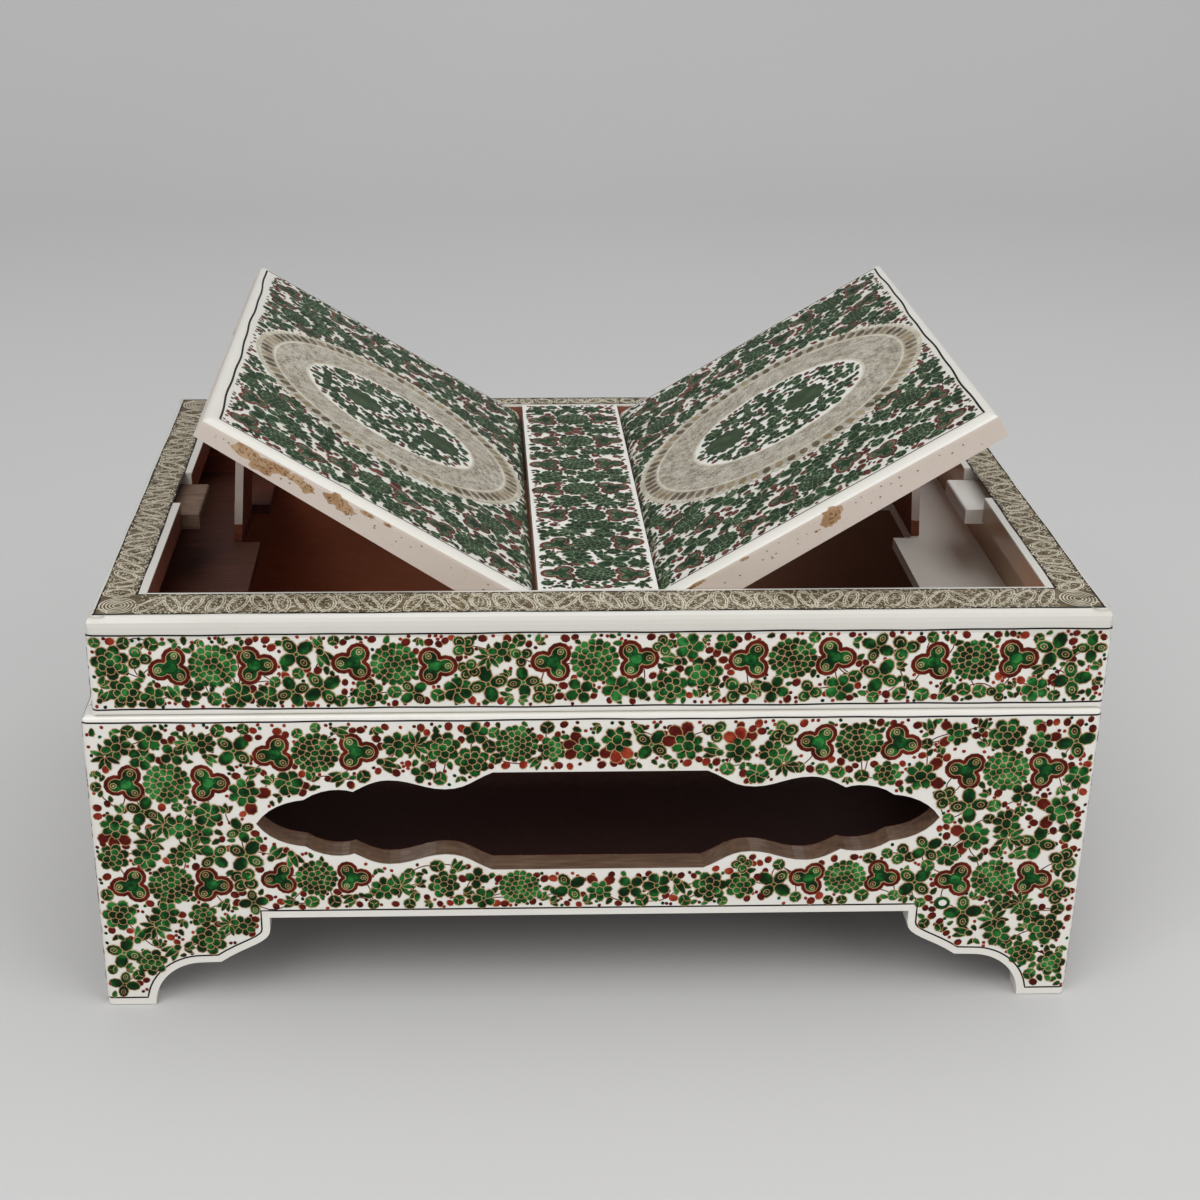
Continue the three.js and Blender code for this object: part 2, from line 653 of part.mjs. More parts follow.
function addLeaf(name, side, tipThickness) {
  const mirrored = side < 0;
  const frame = propHingeFrame(tipThickness);
  const { length, opening } = propStance(frame);
  const leaf = new THREE.Group();
  leaf.position.set(side * pivotPlace, 0, pivotHeight);
  leaf.rotation.y = -side * leafRestAngle;
  lid.add(leaf);
  addPiece(leaf, `${name}_leaf_board`, leafBoard(tipThickness, frame), lacquer, mirrored);
  const pinFront = rodAlongY(leafPinRadius, [openFront - leafPinInRail,
    openFront - leafPinInRail + leafPinLength], 0, 0);
  const pinBack = rodAlongY(leafPinRadius, [openBack + leafPinInRail - leafPinLength,
    openBack + leafPinInRail], 0, 0);
  addPiece(leaf, `${name}_leaf_pin_front`, pinFront, brass);
  addPiece(leaf, `${name}_leaf_pin_back`, pinBack, brass);

  const hinge = new THREE.Group();
  hinge.position.set(side * frame.x, frame.y, frame.z);
  hinge.rotation.y = -side * frame.tilt;
  leaf.add(hinge);
  addPiece(hinge, `${name}_prop_hinge_leaf_plate`, hingePlate(propHinge, true), brass, mirrored);
  addPiece(hinge, `${name}_prop_hinge_pin`, hingePin(propHinge), brass);

  const prop = new THREE.Group();
  prop.rotation.y = -side * opening;
  hinge.add(prop);
  addPiece(prop, `${name}_prop_board`, propBoard(length), lacquer, mirrored);
  addPiece(prop, `${name}_prop_hinge_prop_plate`, hingePlate(propHinge, false), brass, mirrored);

  screwPlaces(propHinge).forEach((place, i) => {
    const [lower, upper] = [false, true].map((above) => screw(propHinge, place, above));
    addPiece(hinge, `${name}_prop_hinge_leaf_screw_${i + 1}`, upper, brass, mirrored);
    addPiece(prop, `${name}_prop_hinge_prop_screw_${i + 1}`, lower, brass, mirrored);
  });
}

addBase();
addLidHinges();
addLid();
addLeaf('left', -1, leftLeafTipThickness);
addLeaf('right', 1, rightLeafTipThickness);

export default box;
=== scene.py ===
import itertools
import json
import math
import random

import bmesh
import bpy
from mathutils import Matrix, Vector
from mathutils.bvhtree import BVHTree


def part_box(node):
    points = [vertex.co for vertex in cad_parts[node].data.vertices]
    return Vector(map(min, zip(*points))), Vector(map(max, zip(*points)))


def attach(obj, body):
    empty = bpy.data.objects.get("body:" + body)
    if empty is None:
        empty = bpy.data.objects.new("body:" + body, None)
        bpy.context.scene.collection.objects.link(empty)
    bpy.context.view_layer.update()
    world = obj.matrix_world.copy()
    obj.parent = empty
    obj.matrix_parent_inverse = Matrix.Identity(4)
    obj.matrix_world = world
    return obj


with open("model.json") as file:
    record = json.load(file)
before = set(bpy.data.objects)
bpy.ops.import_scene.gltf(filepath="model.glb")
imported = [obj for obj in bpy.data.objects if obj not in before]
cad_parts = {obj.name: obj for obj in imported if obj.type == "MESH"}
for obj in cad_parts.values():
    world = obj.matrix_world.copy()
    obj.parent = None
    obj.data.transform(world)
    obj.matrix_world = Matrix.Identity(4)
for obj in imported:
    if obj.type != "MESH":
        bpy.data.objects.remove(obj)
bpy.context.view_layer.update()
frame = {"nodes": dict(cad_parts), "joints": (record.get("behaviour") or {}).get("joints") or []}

mm = 0.001
print("frame loaded,", len(frame["nodes"]), "pieces of the box")


def lowMm(node):
    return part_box(node)[0] / mm


def highMm(node):
    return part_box(node)[1] / mm


def addObject(name, data):
    made = bpy.data.objects.new(name, data)
    bpy.context.scene.collection.objects.link(made)
    return made


def meshFrom(bm, name):
    mesh = bpy.data.meshes.new(name)
    bm.to_mesh(mesh)
    bm.free()
    return mesh


view = {
    "place": (-0.04262, -0.72107, 0.42896), "yaw": 0.0236, "pitch": 0.4105, "roll": 0.0024,
    "lens": 58.22, "sensor": 36, "shiftX": 0.0726, "shiftY": -0.0123,
}


def setCamera():
    yaw, pitch, roll = view["yaw"], view["pitch"], view["roll"]
    ahead = Vector((math.sin(yaw) * math.cos(pitch), math.cos(yaw) * math.cos(pitch), -math.sin(pitch)))
    level = Vector((math.cos(yaw), -math.sin(yaw), 0))
    above = level.cross(ahead)
    right = math.cos(roll) * level + math.sin(roll) * above
    up = math.cos(roll) * above - math.sin(roll) * level
    camera = addObject("camera", bpy.data.cameras.new("camera"))
    camera.data.lens = view["lens"]
    camera.data.sensor_width = view["sensor"]
    camera.data.shift_x = view["shiftX"]
    camera.data.shift_y = view["shiftY"]
    axes = Matrix((right, up, -ahead)).transposed().to_4x4()
    camera.matrix_world = Matrix.Translation(view["place"]) @ axes
    bpy.context.scene.camera = camera

setCamera()
print("camera set")


def tone(red, green, blue):
    # a colour as a screen shows it, 0 to 255
    parts = [c / 255 for c in (red, green, blue)]
    return (*[((c + 0.055) / 1.055) ** 2.4 if c > 0.04 else c / 12.92 for c in parts], 1)


class Finish:
    # one material, with a few short ways to add its nodes
    def __init__(self, name, roughness, metallic=0.0, coat=0.0):
        self.material = bpy.data.materials.new(name)
        self.material.use_nodes = True
        self.tree = self.material.node_tree
        self.shader = self.tree.nodes["Principled BSDF"]
        self.shader.inputs["Roughness"].default_value = roughness
        self.shader.inputs["Metallic"].default_value = metallic
        self.shader.inputs["Coat Weight"].default_value = coat
        self.shader.inputs["Coat Roughness"].default_value = 0.12
        self.coordinates = self.tree.nodes.new("ShaderNodeTexCoord")
        self.place = self.coordinates.outputs["Object"]

    def feed(self, socket, value):
        if isinstance(value, bpy.types.NodeSocket):
            self.tree.links.new(value, socket)
        else:
            socket.default_value = value

    def node(self, kind, **inputs):
        made = self.tree.nodes.new("ShaderNode" + kind)
        for key, value in inputs.items():
            self.feed(made.inputs[key], value)
        return made

    def noise(self, scale, detail=3.0, rough=0.55, stretch=None):
        place = self.place
        if stretch:
            place = self.node("Mapping", Vector=place, Scale=stretch).outputs[0]
        made = self.node("TexNoise", Vector=place, Scale=scale, Detail=detail, Roughness=rough)
        return made.outputs["Fac"]

    def ramp(self, factor, *stops):
        made = self.node("ValToRGB", Fac=factor)
        while len(made.color_ramp.elements) < len(stops):
            made.color_ramp.elements.new(0.5)
        for element, (position, colour) in zip(made.color_ramp.elements, stops):
            element.position = position
            element.color = colour
        return made.outputs["Color"]

    def mix(self, factor, first, second):
        made = self.tree.nodes.new("ShaderNodeMix")
        made.data_type = "RGBA"
        for index, value in ((0, factor), (6, first), (7, second)):
            self.feed(made.inputs[index], value)
        return made.outputs[2]

    def maths(self, operation, first, second):
        made = self.tree.nodes.new("ShaderNodeMath")
        made.operation = operation
        self.feed(made.inputs[0], first)
        self.feed(made.inputs[1], second)
        return made.outputs[0]

    def scaled(self, value, by, plus):
        return self.maths("ADD", self.maths("MULTIPLY", value, by), plus)

    def dot(self, way):
        # how far the surface faces a way, from -1 to 1
        made = self.tree.nodes.new("ShaderNodeVectorMath")
        made.operation = "DOT_PRODUCT"
        self.feed(made.inputs[0], self.coordinates.outputs["Normal"])
        made.inputs[1].default_value = way
        return made.outputs["Value"]

    def along(self, axis, ragged=0.0):
        # the place along an axis in metres, a little uneven where a brush left its edge
        value = self.node("SeparateXYZ", Vector=self.place).outputs[axis]
        if ragged:
            drift = self.maths("MULTIPLY", self.maths("SUBTRACT", self.noise(260, 4), 0.5), ragged)
            value = self.maths("ADD", value, drift)
        return value

    def within(self, limits, ragged=0.0):
        # 1 where all the limits hold: each is an axis, a place on it in millimetres,
        # and whether what is meant lies past that place or before it
        mask = 1.0
        for axis, limit, past in limits:
            test = self.maths("GREATER_THAN" if past else "LESS_THAN", self.along(axis, ragged), limit * mm)
            mask = self.maths("MULTIPLY", test, mask)
        return mask

    def roughness(self, socket):
        self.tree.links.new(socket, self.shader.inputs["Roughness"])

    def done(self, colour, bumps=None, depth=0.0, strength=1.0):
        # the finished material, with its colour and the bumps of its surface, depth in metres
        self.tree.links.new(colour, self.shader.inputs["Base Color"])
        if bumps:
            bump = self.node("Bump", Height=bumps, Distance=depth, Strength=strength)
            self.tree.links.new(bump.outputs["Normal"], self.shader.inputs["Normal"])
        return self.material


shades = {
    "white": [tone(236, 232, 221), tone(244, 241, 233), tone(222, 214, 196)],
    # painted shade: these two greys darken the white lacquer of the rails and the leaves
    "railShadeGrey": tone(186, 184, 172), "leafShadeGrey": tone(204, 202, 188),
    # the stain, then the stain darkened as painted shade
    "stain": [tone(104, 52, 36), tone(138, 74, 50), tone(168, 98, 66)], "stainInPaintedShade": tone(46, 24, 14),
    # painted light: the back wall's lining, lightened
    "backWall": [tone(186, 98, 60), tone(194, 152, 122)],
    # painted light: the right wall's lining where light falls, and its warmer pool toward the front
    "tan": [tone(170, 134, 104), tone(206, 170, 138), tone(196, 128, 78)],
    # painted light and shade: the floor's shaded front and lit back
    "floor": [tone(46, 20, 14), tone(206, 160, 132)],
    "pale": [tone(248, 244, 234), tone(216, 206, 190)],
    "primed": [tone(206, 190, 176), tone(218, 204, 192), tone(186, 166, 148)],
    "bare": [tone(92, 70, 56), tone(118, 94, 76), tone(146, 120, 98)],
    "brass": [tone(150, 120, 66), tone(186, 152, 92)],
}
clear, full = (0, 0, 0, 1), (1, 1, 1, 1)


def lacquerColour(finish):
    fresh, bright, yellowed = shades["white"]
    base = finish.mix(finish.noise(14, 4), fresh, bright)
    aged = finish.ramp(finish.noise(38, 6, 0.65), (0.55, clear), (0.78, full))
    return finish.mix(finish.maths("MULTIPLY", aged, 0.35), base, yellowed)


def stainColour(finish):
    dark, mid, light = shades["stain"]
    return finish.ramp(finish.noise(60, 6, 0.65, (1, 8, 8)), (0.3, dark), (0.55, mid), (0.8, light))


def bareColour(finish):
    dark, mid, light = shades["bare"]
    return finish.ramp(finish.noise(70, 7, 0.65, (1, 10, 10)), (0.3, dark), (0.5, mid), (0.75, light))


def backColour(finish):
    # painted light: the back wall inside, its stain lightened as if lit from above, redder on the left and
    # greyer on the right
    paintedLight = finish.mix(finish.scaled(finish.along(0, 0.05), 4, 0.5), *shades["backWall"])
    return finish.mix(0.7, stainColour(finish), paintedLight)


def tanColour(finish):
    # painted light: the right wall inside in a light tan where light falls on it, with a warmer pool of painted
    # light toward the front
    mid, light, warm = shades["tan"]
    paintedLight = finish.mix(finish.noise(24, 5), mid, light)
    return finish.mix(finish.scaled(finish.along(1, 0.03), -22, -1.1), paintedLight, warm)


def darkColour(finish):
    # painted shade: the stain darkened, as where shade falls
    return finish.mix(0.6, stainColour(finish), shades["stainInPaintedShade"])


def floorColour(finish):
    # painted light and shade: the stain darker toward the front of the box, as in shade, and lighter toward the
    # back, where light falls from above
    dark, paintedLightTone = shades["floor"]
    paintedLight = finish.mix(0.65, stainColour(finish), paintedLightTone)
    return finish.mix(finish.scaled(finish.along(1, 0.02), 9, 0.4), dark, paintedLight)


def paleColour(finish):
    return finish.mix(finish.maths("MULTIPLY", finish.noise(40, 5), 0.5), *shades["pale"])


def primedColour(finish):
    mid, light, dark = shades["primed"]
    base = finish.mix(finish.noise(30, 5), mid, light)
    specks = finish.ramp(finish.noise(900, 2, 0.5), (0.68, clear), (0.72, full))
    return finish.mix(finish.maths("MULTIPLY", specks, 0.5), base, dark)


def lacquerMaterial(name, inside=(), reveal=(), lining=stainColour, shadeShare=0.0):
    # white lacquer, greyed by the given share of painted shade; bare wood within the limits of reveal and a
    # lining within those of inside
    finish = Finish(name, 0.32, coat=0.6)
    colour = finish.mix(shadeShare, lacquerColour(finish), shades["railShadeGrey"])
    if reveal:
        colour = finish.mix(finish.within(reveal), colour, bareColour(finish))
    if inside:
        mask = finish.within(inside, 0.0006)
        colour = finish.mix(mask, colour, lining(finish))
        finish.roughness(finish.scaled(mask, 0.3, 0.3))
    return finish.done(colour, finish.noise(55, 5, 0.6), 0.0004, 0.5)


def paintMaterial(name, dark, mid, light, roughness=0.45, coat=0.04, metallic=0.0):
    finish = Finish(name, roughness, metallic, coat)
    finish.shader.inputs["Specular IOR Level"].default_value = 0.1
    patches = finish.ramp(finish.noise(190, 3), (0.4, tone(*dark)), (0.51, tone(*mid)), (0.63, tone(*light)))
    brushed = finish.mix(finish.maths("MULTIPLY", finish.noise(700, 3), 0.45), patches, tone(*dark))
    return finish.done(brushed, finish.noise(600, 3), 0.00008, 0.5)


# each paint in its dark, middle and light colour, then its roughness, coat and metal where they differ
mixes = {
    "green": ((4, 34, 8), (10, 62, 20), (30, 110, 44)),
    "leafGreen": ((6, 52, 18), (22, 98, 38), (56, 144, 68)),
    "deepGreen": ((14, 38, 16), (24, 54, 26), (42, 78, 42)),
    "mossGreen": ((40, 58, 34), (52, 70, 44), (64, 84, 54)),
    "maroon": ((70, 12, 6), (94, 20, 10), (118, 36, 20)),
    "red": ((118, 30, 16), (146, 46, 28), (172, 72, 46)),
    "russet": ((74, 26, 20), (100, 44, 36), (122, 64, 52)),
    "gold": ((168, 130, 88), (190, 154, 112), (208, 178, 138), 0.4, 0.2, 0.12),
    "sage": ((92, 106, 80), (118, 130, 104), (150, 158, 134)),
    "black": ((12, 11, 11), (20, 18, 18), (34, 30, 28)),
    "cream": ((196, 188, 165), (210, 203, 182), (222, 216, 198)),
    "umber": ((84, 72, 54), (108, 95, 74), (134, 120, 96)),
    "bandGold": ((132, 112, 74), (158, 140, 106), (178, 164, 132), 0.36, 0.3, 0.2),
    "palePaste": ((160, 152, 138), (176, 169, 156), (190, 184, 172)),
    "chip": ((162, 126, 92), (182, 150, 116), (198, 170, 138), 0.7, 0.0),
    "chipShade": ((116, 82, 52), (138, 102, 68), (156, 122, 86), 0.7, 0.0),
}
paints = {"lacquer": lacquerMaterial("whiteGround")}
for paintName, paintMix in mixes.items():
    paints[paintName] = paintMaterial(paintName, *paintMix)
paintNames = list(paints)
print("finishes mixed")

# millimetres from one coat of paint to the next and through the whole film, then in coats the height of the
# lowest touch and how uneven the touches lie
coats = {"layer": 0.02, "film": 0.028, "lowest": 1.6, "uneven": 0.09}
touches = itertools.count()


def height(level):
    # each touch of the brush sits a hair above or below the ones beside it
    return (level + coats["lowest"] + next(touches) % 10 * coats["uneven"]) * coats["layer"]


def lay(face, paint):
    face.normal_update()
    if face.normal.z < 0:
        face.normal_flip()
    face.material_index = paintNames.index(paint)


def dab(bm, at, size, paint, level, turn=0.0, taper=0.0, sides=8, rough=None):
    # one touch of a loaded brush
    rise = height(level)
    ring = bmesh.ops.create_circle(bm, cap_ends=True, radius=1, segments=sides)["verts"]
    for v in ring:
        v.co.y *= 1 - taper * v.co.x
        if rough:
            v.co *= rough.uniform(0.72, 1.2)
    where = Matrix.Translation((at[0], at[1], rise)) @ Matrix.Rotation(turn, 4, "Z")
    bmesh.ops.transform(bm, matrix=where @ Matrix.Diagonal((*size, 1, 1)), verts=ring)
    lay(ring[0].link_faces[0], paint)


def petal(bm, at, size, paint, level, turn, taper, sides, rim, rimPaint):
    dab(bm, at, (size[0] + rim, size[1] + rim), rimPaint, level, turn, taper, sides)
    dab(bm, at, size, paint, level + 1, turn, taper, sides)


def stroke(bm, path, width, paint, level, fade=0.0):
    # a brushed line along a path of points; fade thins its two ends
    rise = height(level)
    steps = len(path) - 1
    strip = bmesh.ops.create_grid(bm, x_segments=steps, y_segments=1, size=0.5)["verts"]
    for v in strip:
        index = round((v.co.x + 0.5) * steps)
        way = (path[min(index + 1, steps)] - path[max(index - 1, 0)]).normalized()
        reach = math.copysign(width / 2 * (1 - fade * abs(2 * index / steps - 1) ** 2), v.co.y)
        v.co = (path[index].x - way.y * reach, path[index].y + way.x * reach, rise)
    for face in {f for v in strip for f in v.link_faces}:
        lay(face, paint)


def patch(bm, x0, x1, y0, y1, paint):
    # a ground under the other touches
    rise = (coats["lowest"] - 1) * coats["layer"]
    ring = bmesh.ops.create_grid(bm, x_segments=1, y_segments=1, size=0.5)["verts"]
    for v in ring:
        v.co = (x0 + (v.co.x + 0.5) * (x1 - x0), y0 + (v.co.y + 0.5) * (y1 - y0), rise)
    lay(ring[0].link_faces[0], paint)


def turned(centre, x, y, turn):
    # a point given from a centre, after a turn about it
    return (centre[0] + x * math.cos(turn) - y * math.sin(turn),
            centre[1] + x * math.sin(turn) + y * math.cos(turn))


def arc(centre, radius, start, end, steps, squash=1.0, turn=0.0):
    angles = [start + (end - start) * i / steps for i in range(steps + 1)]
    return [Vector(turned(centre, radius * math.cos(a), radius * squash * math.sin(a), turn)) for a in angles]


def handLine(start, end, rng, sway):
    # a ruled line as a steady hand draws it, with a point about every 4 mm
    start, end = Vector(start), Vector(end)
    steps = max(2, int((end - start).length / 4))
    side = Vector((start.y - end.y, end.x - start.x)).normalized()
    phase, second = rng.uniform(0, 6), rng.uniform(0, 6)
    path = []
    for i in range(steps + 1):
        drift = sway * (math.sin(i * 0.31 + phase) + 0.6 * math.sin(i * 0.83 + second))
        path.append(start.lerp(end, i / steps) + side * drift)
    return path


def spread(count, distance, start=0.0, sweep=2 * math.pi):
    # places and angles evenly along a sweep about a middle
    for i in range(count):
        angle = start + sweep * i / (count if sweep > 6.28 else max(count - 1, 1))
        yield distance * math.cos(angle), distance * math.sin(angle), angle


# the flowers: each is drawn a few times in millimetres about its own middle and then stamped

def greens(rng):
    return rng.choice(["green", "green", "leafGreen"])


def reds(rng):
    return rng.choice(["maroon", "maroon", "red"])


def scales(bm, rng, halfLong, halfWide, rimPaint, at=(0, 0), pitch=2.5, level=1):
    # overlapping rounded scales in rings about a middle one, the inner rings on top
    main, rim = greens(rng), 0.3
    rings = max(1, round(halfWide / pitch - 0.5))
    step = 1 / (rings + 0.5)
    for ring in range(rings, -1, -1):
        long, wide = halfLong * ring * step, halfWide * ring * step
        count = max(1, round(math.pi * (long + wide) / pitch)) if ring else 1
        start = rng.uniform(0, 6)
        across = math.pi * (long + wide) / count / 2 if ring else halfWide * step / 2
        size = (halfWide * step * 0.62, across * 1.06)
        for i in range(count):
            a = start + 2 * math.pi * i / count
            x, y = long * math.cos(a), wide * math.sin(a)
            spot = (at[0] + x + rng.uniform(-0.1, 0.1), at[1] + y + rng.uniform(-0.1, 0.1))
            turn = math.atan2(y, x) + rng.uniform(-0.15, 0.15)
            depth = level + 4 * (rings - ring) + 2 * (i % 2)
            paint = main if rng.random() < 0.85 else "leafGreen"
            petal(bm, spot, size, paint, depth, turn, 0, 7, rim, rimPaint)


def scaleBloom(bm, rng, rimPaint):
    scales(bm, rng, 8.3, 7.9, rimPaint)


def trefoil(bm, rng, rimPaint):
    lobes = list(spread(3, 3.35))
    for level, radius, middle, paint in ((1, 4.16, 3.2, rimPaint), (2, 4.02, 3.2, "maroon"),
                                         (3, 2.7, 2.8, rimPaint), (4, 2.4, 2.45, "green")):
        dab(bm, (0, 0), (middle, middle), paint, level, 0, 0, 9)
        for x, y, a in lobes:
            dab(bm, (x, y), (radius, radius * 0.95), paint, level, a, 0, 12)
    for x, y, a in lobes:
        for level, size, paint in ((5, 1.25, rimPaint), (6, 0.93, "leafGreen"), (7, 0.4, rimPaint)):
            dab(bm, (x * 1.26, y * 1.26), (size, size * 0.9), paint, level, a, 0, 7)
    dab(bm, (0.1, 0), (1.9, 1.7), "leafGreen", 5, 0, 0, 8)


def pineFan(bm, rng, rimPaint):
    for i, (x, y, a) in enumerate(spread(rng.choice([6, 7]), 2.9, -1.9, 3.8)):
        petal(bm, (2.6 + x, y), (2.4, 0.85), greens(rng), 2 * i, a, 0.3, 7, 0.27, rimPaint)
    scales(bm, rng, 5.5, 4.3, rimPaint, (-2.6, 0), 2.6, 3)


def fivePetal(bm, rng, rimPaint):
    count, paint = rng.choice([4, 5, 5, 6]), greens(rng)
    for i, (x, y, a) in enumerate(spread(count, 2.35, rng.uniform(0, 1))):
        petal(bm, (x, y), (2.0, 1.6), paint, 1 + 2 * i, a, -0.25, 8, 0.3, rimPaint)
    petal(bm, (0, 0), (0.8, 0.75), greens(rng), 2 * count + 1, 0, 0, 6, 0.26, rimPaint)


def eyePetal(bm, rng, rimPaint):
    paint = greens(rng)
    for index, (x, y, a) in enumerate(spread(4, 3.2)):
        size = (2.6, 1.85) if index % 2 else (2.7, 2.0)
        petal(bm, (x * 1.05, y), size, paint, 1 + 2 * index, a, 0, 9, 0.32, rimPaint)
        if index % 2:
            petal(bm, (x, y * 1.1), (1.0, 0.75), "green", 9, a, 0, 7, 0.27, rimPaint)
            dab(bm, (x, y * 1.1), (0.32, 0.28), rimPaint, 12, 0, 0, 5)
    petal(bm, (0, 0), (0.7, 0.6), "leafGreen", 10, 0, 0, 6, 0.25, rimPaint)


def halfBloom(bm, rng, rimPaint):
    paint = greens(rng)
    for i, (x, y, a) in enumerate(spread(7, 3.9, rng.uniform(0, 1))):
        petal(bm, (x, y), (1.9, 1.75), paint, 2 * (i % 3), a, 0, 8, 0.32, rimPaint)
    scales(bm, rng, 3.7, 3.5, rimPaint, (0, 0), 2.6, 6)


def redPetals(bm, rng, rimPaint):
    for i, (x, y, a) in enumerate(spread(rng.choice([2, 3]), 4.3, -0.8, 1.6)):
        petal(bm, (x, y), (2.5, 1.8), reds(rng), 1 + 2 * i, a, -0.2, 9, 0.3, rimPaint)
    scales(bm, rng, 4.2, 4.6, rimPaint, (-1.6, 0), 2.6, 6)


def curlBloom(bm, rng, rimPaint):
    # round petals drawn with a curl of gold in each
    for i, (x, y, a) in enumerate(spread(rng.choice([3, 4]), 2.3, rng.uniform(0, 1))):
        petal(bm, (x, y), (2.15, 1.9), greens(rng), 1 + 2 * i, a, 0, 9, 0.32, rimPaint)
        stroke(bm, arc((x, y), 1.05, a - 2.2, a + 1.4, 6), 0.3, rimPaint, 9)
    dab(bm, (0, 0), (0.6, 0.55), rimPaint, 10, 0, 0, 6)


def bud(bm, rng, rimPaint):
    petal(bm, (0, 0), (2.25, 2.05), greens(rng), 1, 0, 0, 9, 0.3, rimPaint)
    for x, y, a in spread(3, 0.9):
        stroke(bm, [Vector((x * 0.2, y * 0.2)), Vector((x + y * 0.2, y - x * 0.2)), Vector((x * 1.9, y * 1.9))],
               0.3, rimPaint, 3)


def lily(bm, rng, rimPaint):
    for i, (y, turn, length) in enumerate(((1.25, 0.6, 2.4), (-1.25, -0.6, 2.4), (0, 0, 2.8))):
        petal(bm, (0.5, y), (length, 1.05), greens(rng), 1 + 2 * i, turn, 0.4, 8, 0.28, rimPaint)
    petal(bm, (-2.0, 0), (1.2, 1.05), "green", 7, 0, 0, 7, 0.26, rimPaint)


def leafTrio(bm, rng, rimPaint):
    for i, (x, y, a) in enumerate(spread(rng.choice([2, 3]), 1.5, -0.8, 1.6)):
        petal(bm, (x - 0.7, y), (1.6, 0.85), greens(rng), 1 + 2 * i, a, 0.4, 7, 0.25, rimPaint)


def ringBloom(bm, rng, rimPaint):
    petal(bm, (0, 0), (3.3, 3.0), "leafGreen", 1, 0, 0, 10, 0.25, rimPaint)
    dab(bm, (0.3, 0.1), (1.75, 1.5), "lacquer", 4, 0, 0, 8)


def smallLeaf(bm, rng, rimPaint):
    petal(bm, (0, 0), (1.4, 0.85), greens(rng), 1, 0, 0.35, 7, 0.22, rimPaint)


def berry(bm, rng, rimPaint):
    dab(bm, (0.2, 0.1), (1.5, 1.3), rimPaint, 0, 0, 0, 8)
    dab(bm, (0, 0), (1.42, 1.22), reds(rng), 1, 0, 0.1, 8)


def seed(bm, rng, rimPaint):
    dab(bm, (0, 0), (0.66, 0.58), rng.choice(["maroon", "maroon", "red", "green"]), 1, 0, 0, 6)


# for each flower: how it is drawn, the ground it takes up, and how often it is picked
flowers = {
    "scaleBloom": (scaleBloom, 8.0, 0), "trefoil": (trefoil, 6.9, 0),
    "pineFan": (pineFan, 5.9, 5), "redPetals": (redPetals, 5.8, 2), "halfBloom": (halfBloom, 5.4, 2),
    "eyePetal": (eyePetal, 4.7, 5), "fivePetal": (fivePetal, 3.7, 5), "curlBloom": (curlBloom, 3.8, 4),
    "lily": (lily, 2.7, 4), "bud": (bud, 2.4, 4), "leafTrio": (leafTrio, 2.0, 4),
    "ringBloom": (ringBloom, 3.4, 0), "smallLeaf": (smallLeaf, 1.25, 3), "berry": (berry, 1.4, 8),
    "seed": (seed, 0.7, 2),
}
variants = 4
reaches = {}
# the softer colour that stands for each of the bright ones on the leaves and the strip
softer = {"green": "deepGreen", "leafGreen": "deepGreen", "maroon": "russet", "red": "russet"}


def drawFlowers(rimPaint, rng, swaps):
    stamps = {}
    for name, (drawIt, _, _) in flowers.items():
        stamps[name] = []
        for _ in range(variants):
            bm = bmesh.new()
            drawIt(bm, rng, rimPaint)
            for face in bm.faces:
                paint = paintNames[face.material_index]
                face.material_index = paintNames.index(swaps.get(paint, paint))
            reaches[name] = max(reaches.get(name, 0), *(v.co.xy.length for v in bm.verts))
            stamps[name].append(meshFrom(bm, name))
    return stamps


goldStamps = drawFlowers("gold", random.Random(4), {})
sageStamps = drawFlowers("sage", random.Random(9), softer)
print("flowers drawn")


# in millimetres: the cells that claimed ground is filed in, how far above the face a ray starts and how long
# it is, how deep the surface may lie on the flat part and past it, the steps inward where a ray misses, and the
# longest edge that is left past the flat part
probe = {
    "cell": 9, "above": 5, "ray": 10, "flatDepth": 0.06, "edgeDepth": 0.9,
    "inward": (0, 0.3, 0.6, 0.9, 1.2), "longest": 0.8,
}
# how flowers fill free ground: overEdge, overFence, look and shrink in millimetres, the rest shares of a size
fill = {
    "largest": 1.2, "first": 0.8, "shrink": 10, "overEdge": 0.2, "overFence": 0.4, "look": 9,
    "fits": 0.88, "tipFits": 0.85, "worth": 0.62, "grown": 1.18, "ring": 0.94,
}
# a group: how far its trefoils stand from the middle, and their scale
group = {"reach": 14.3, "trefoil": 1.08}
# stalks: the radius of the smallest flower that has one, the longest, and how far one bows as a share of that
stalk = {"flower": 2.2, "longest": 24, "bow": 0.25}


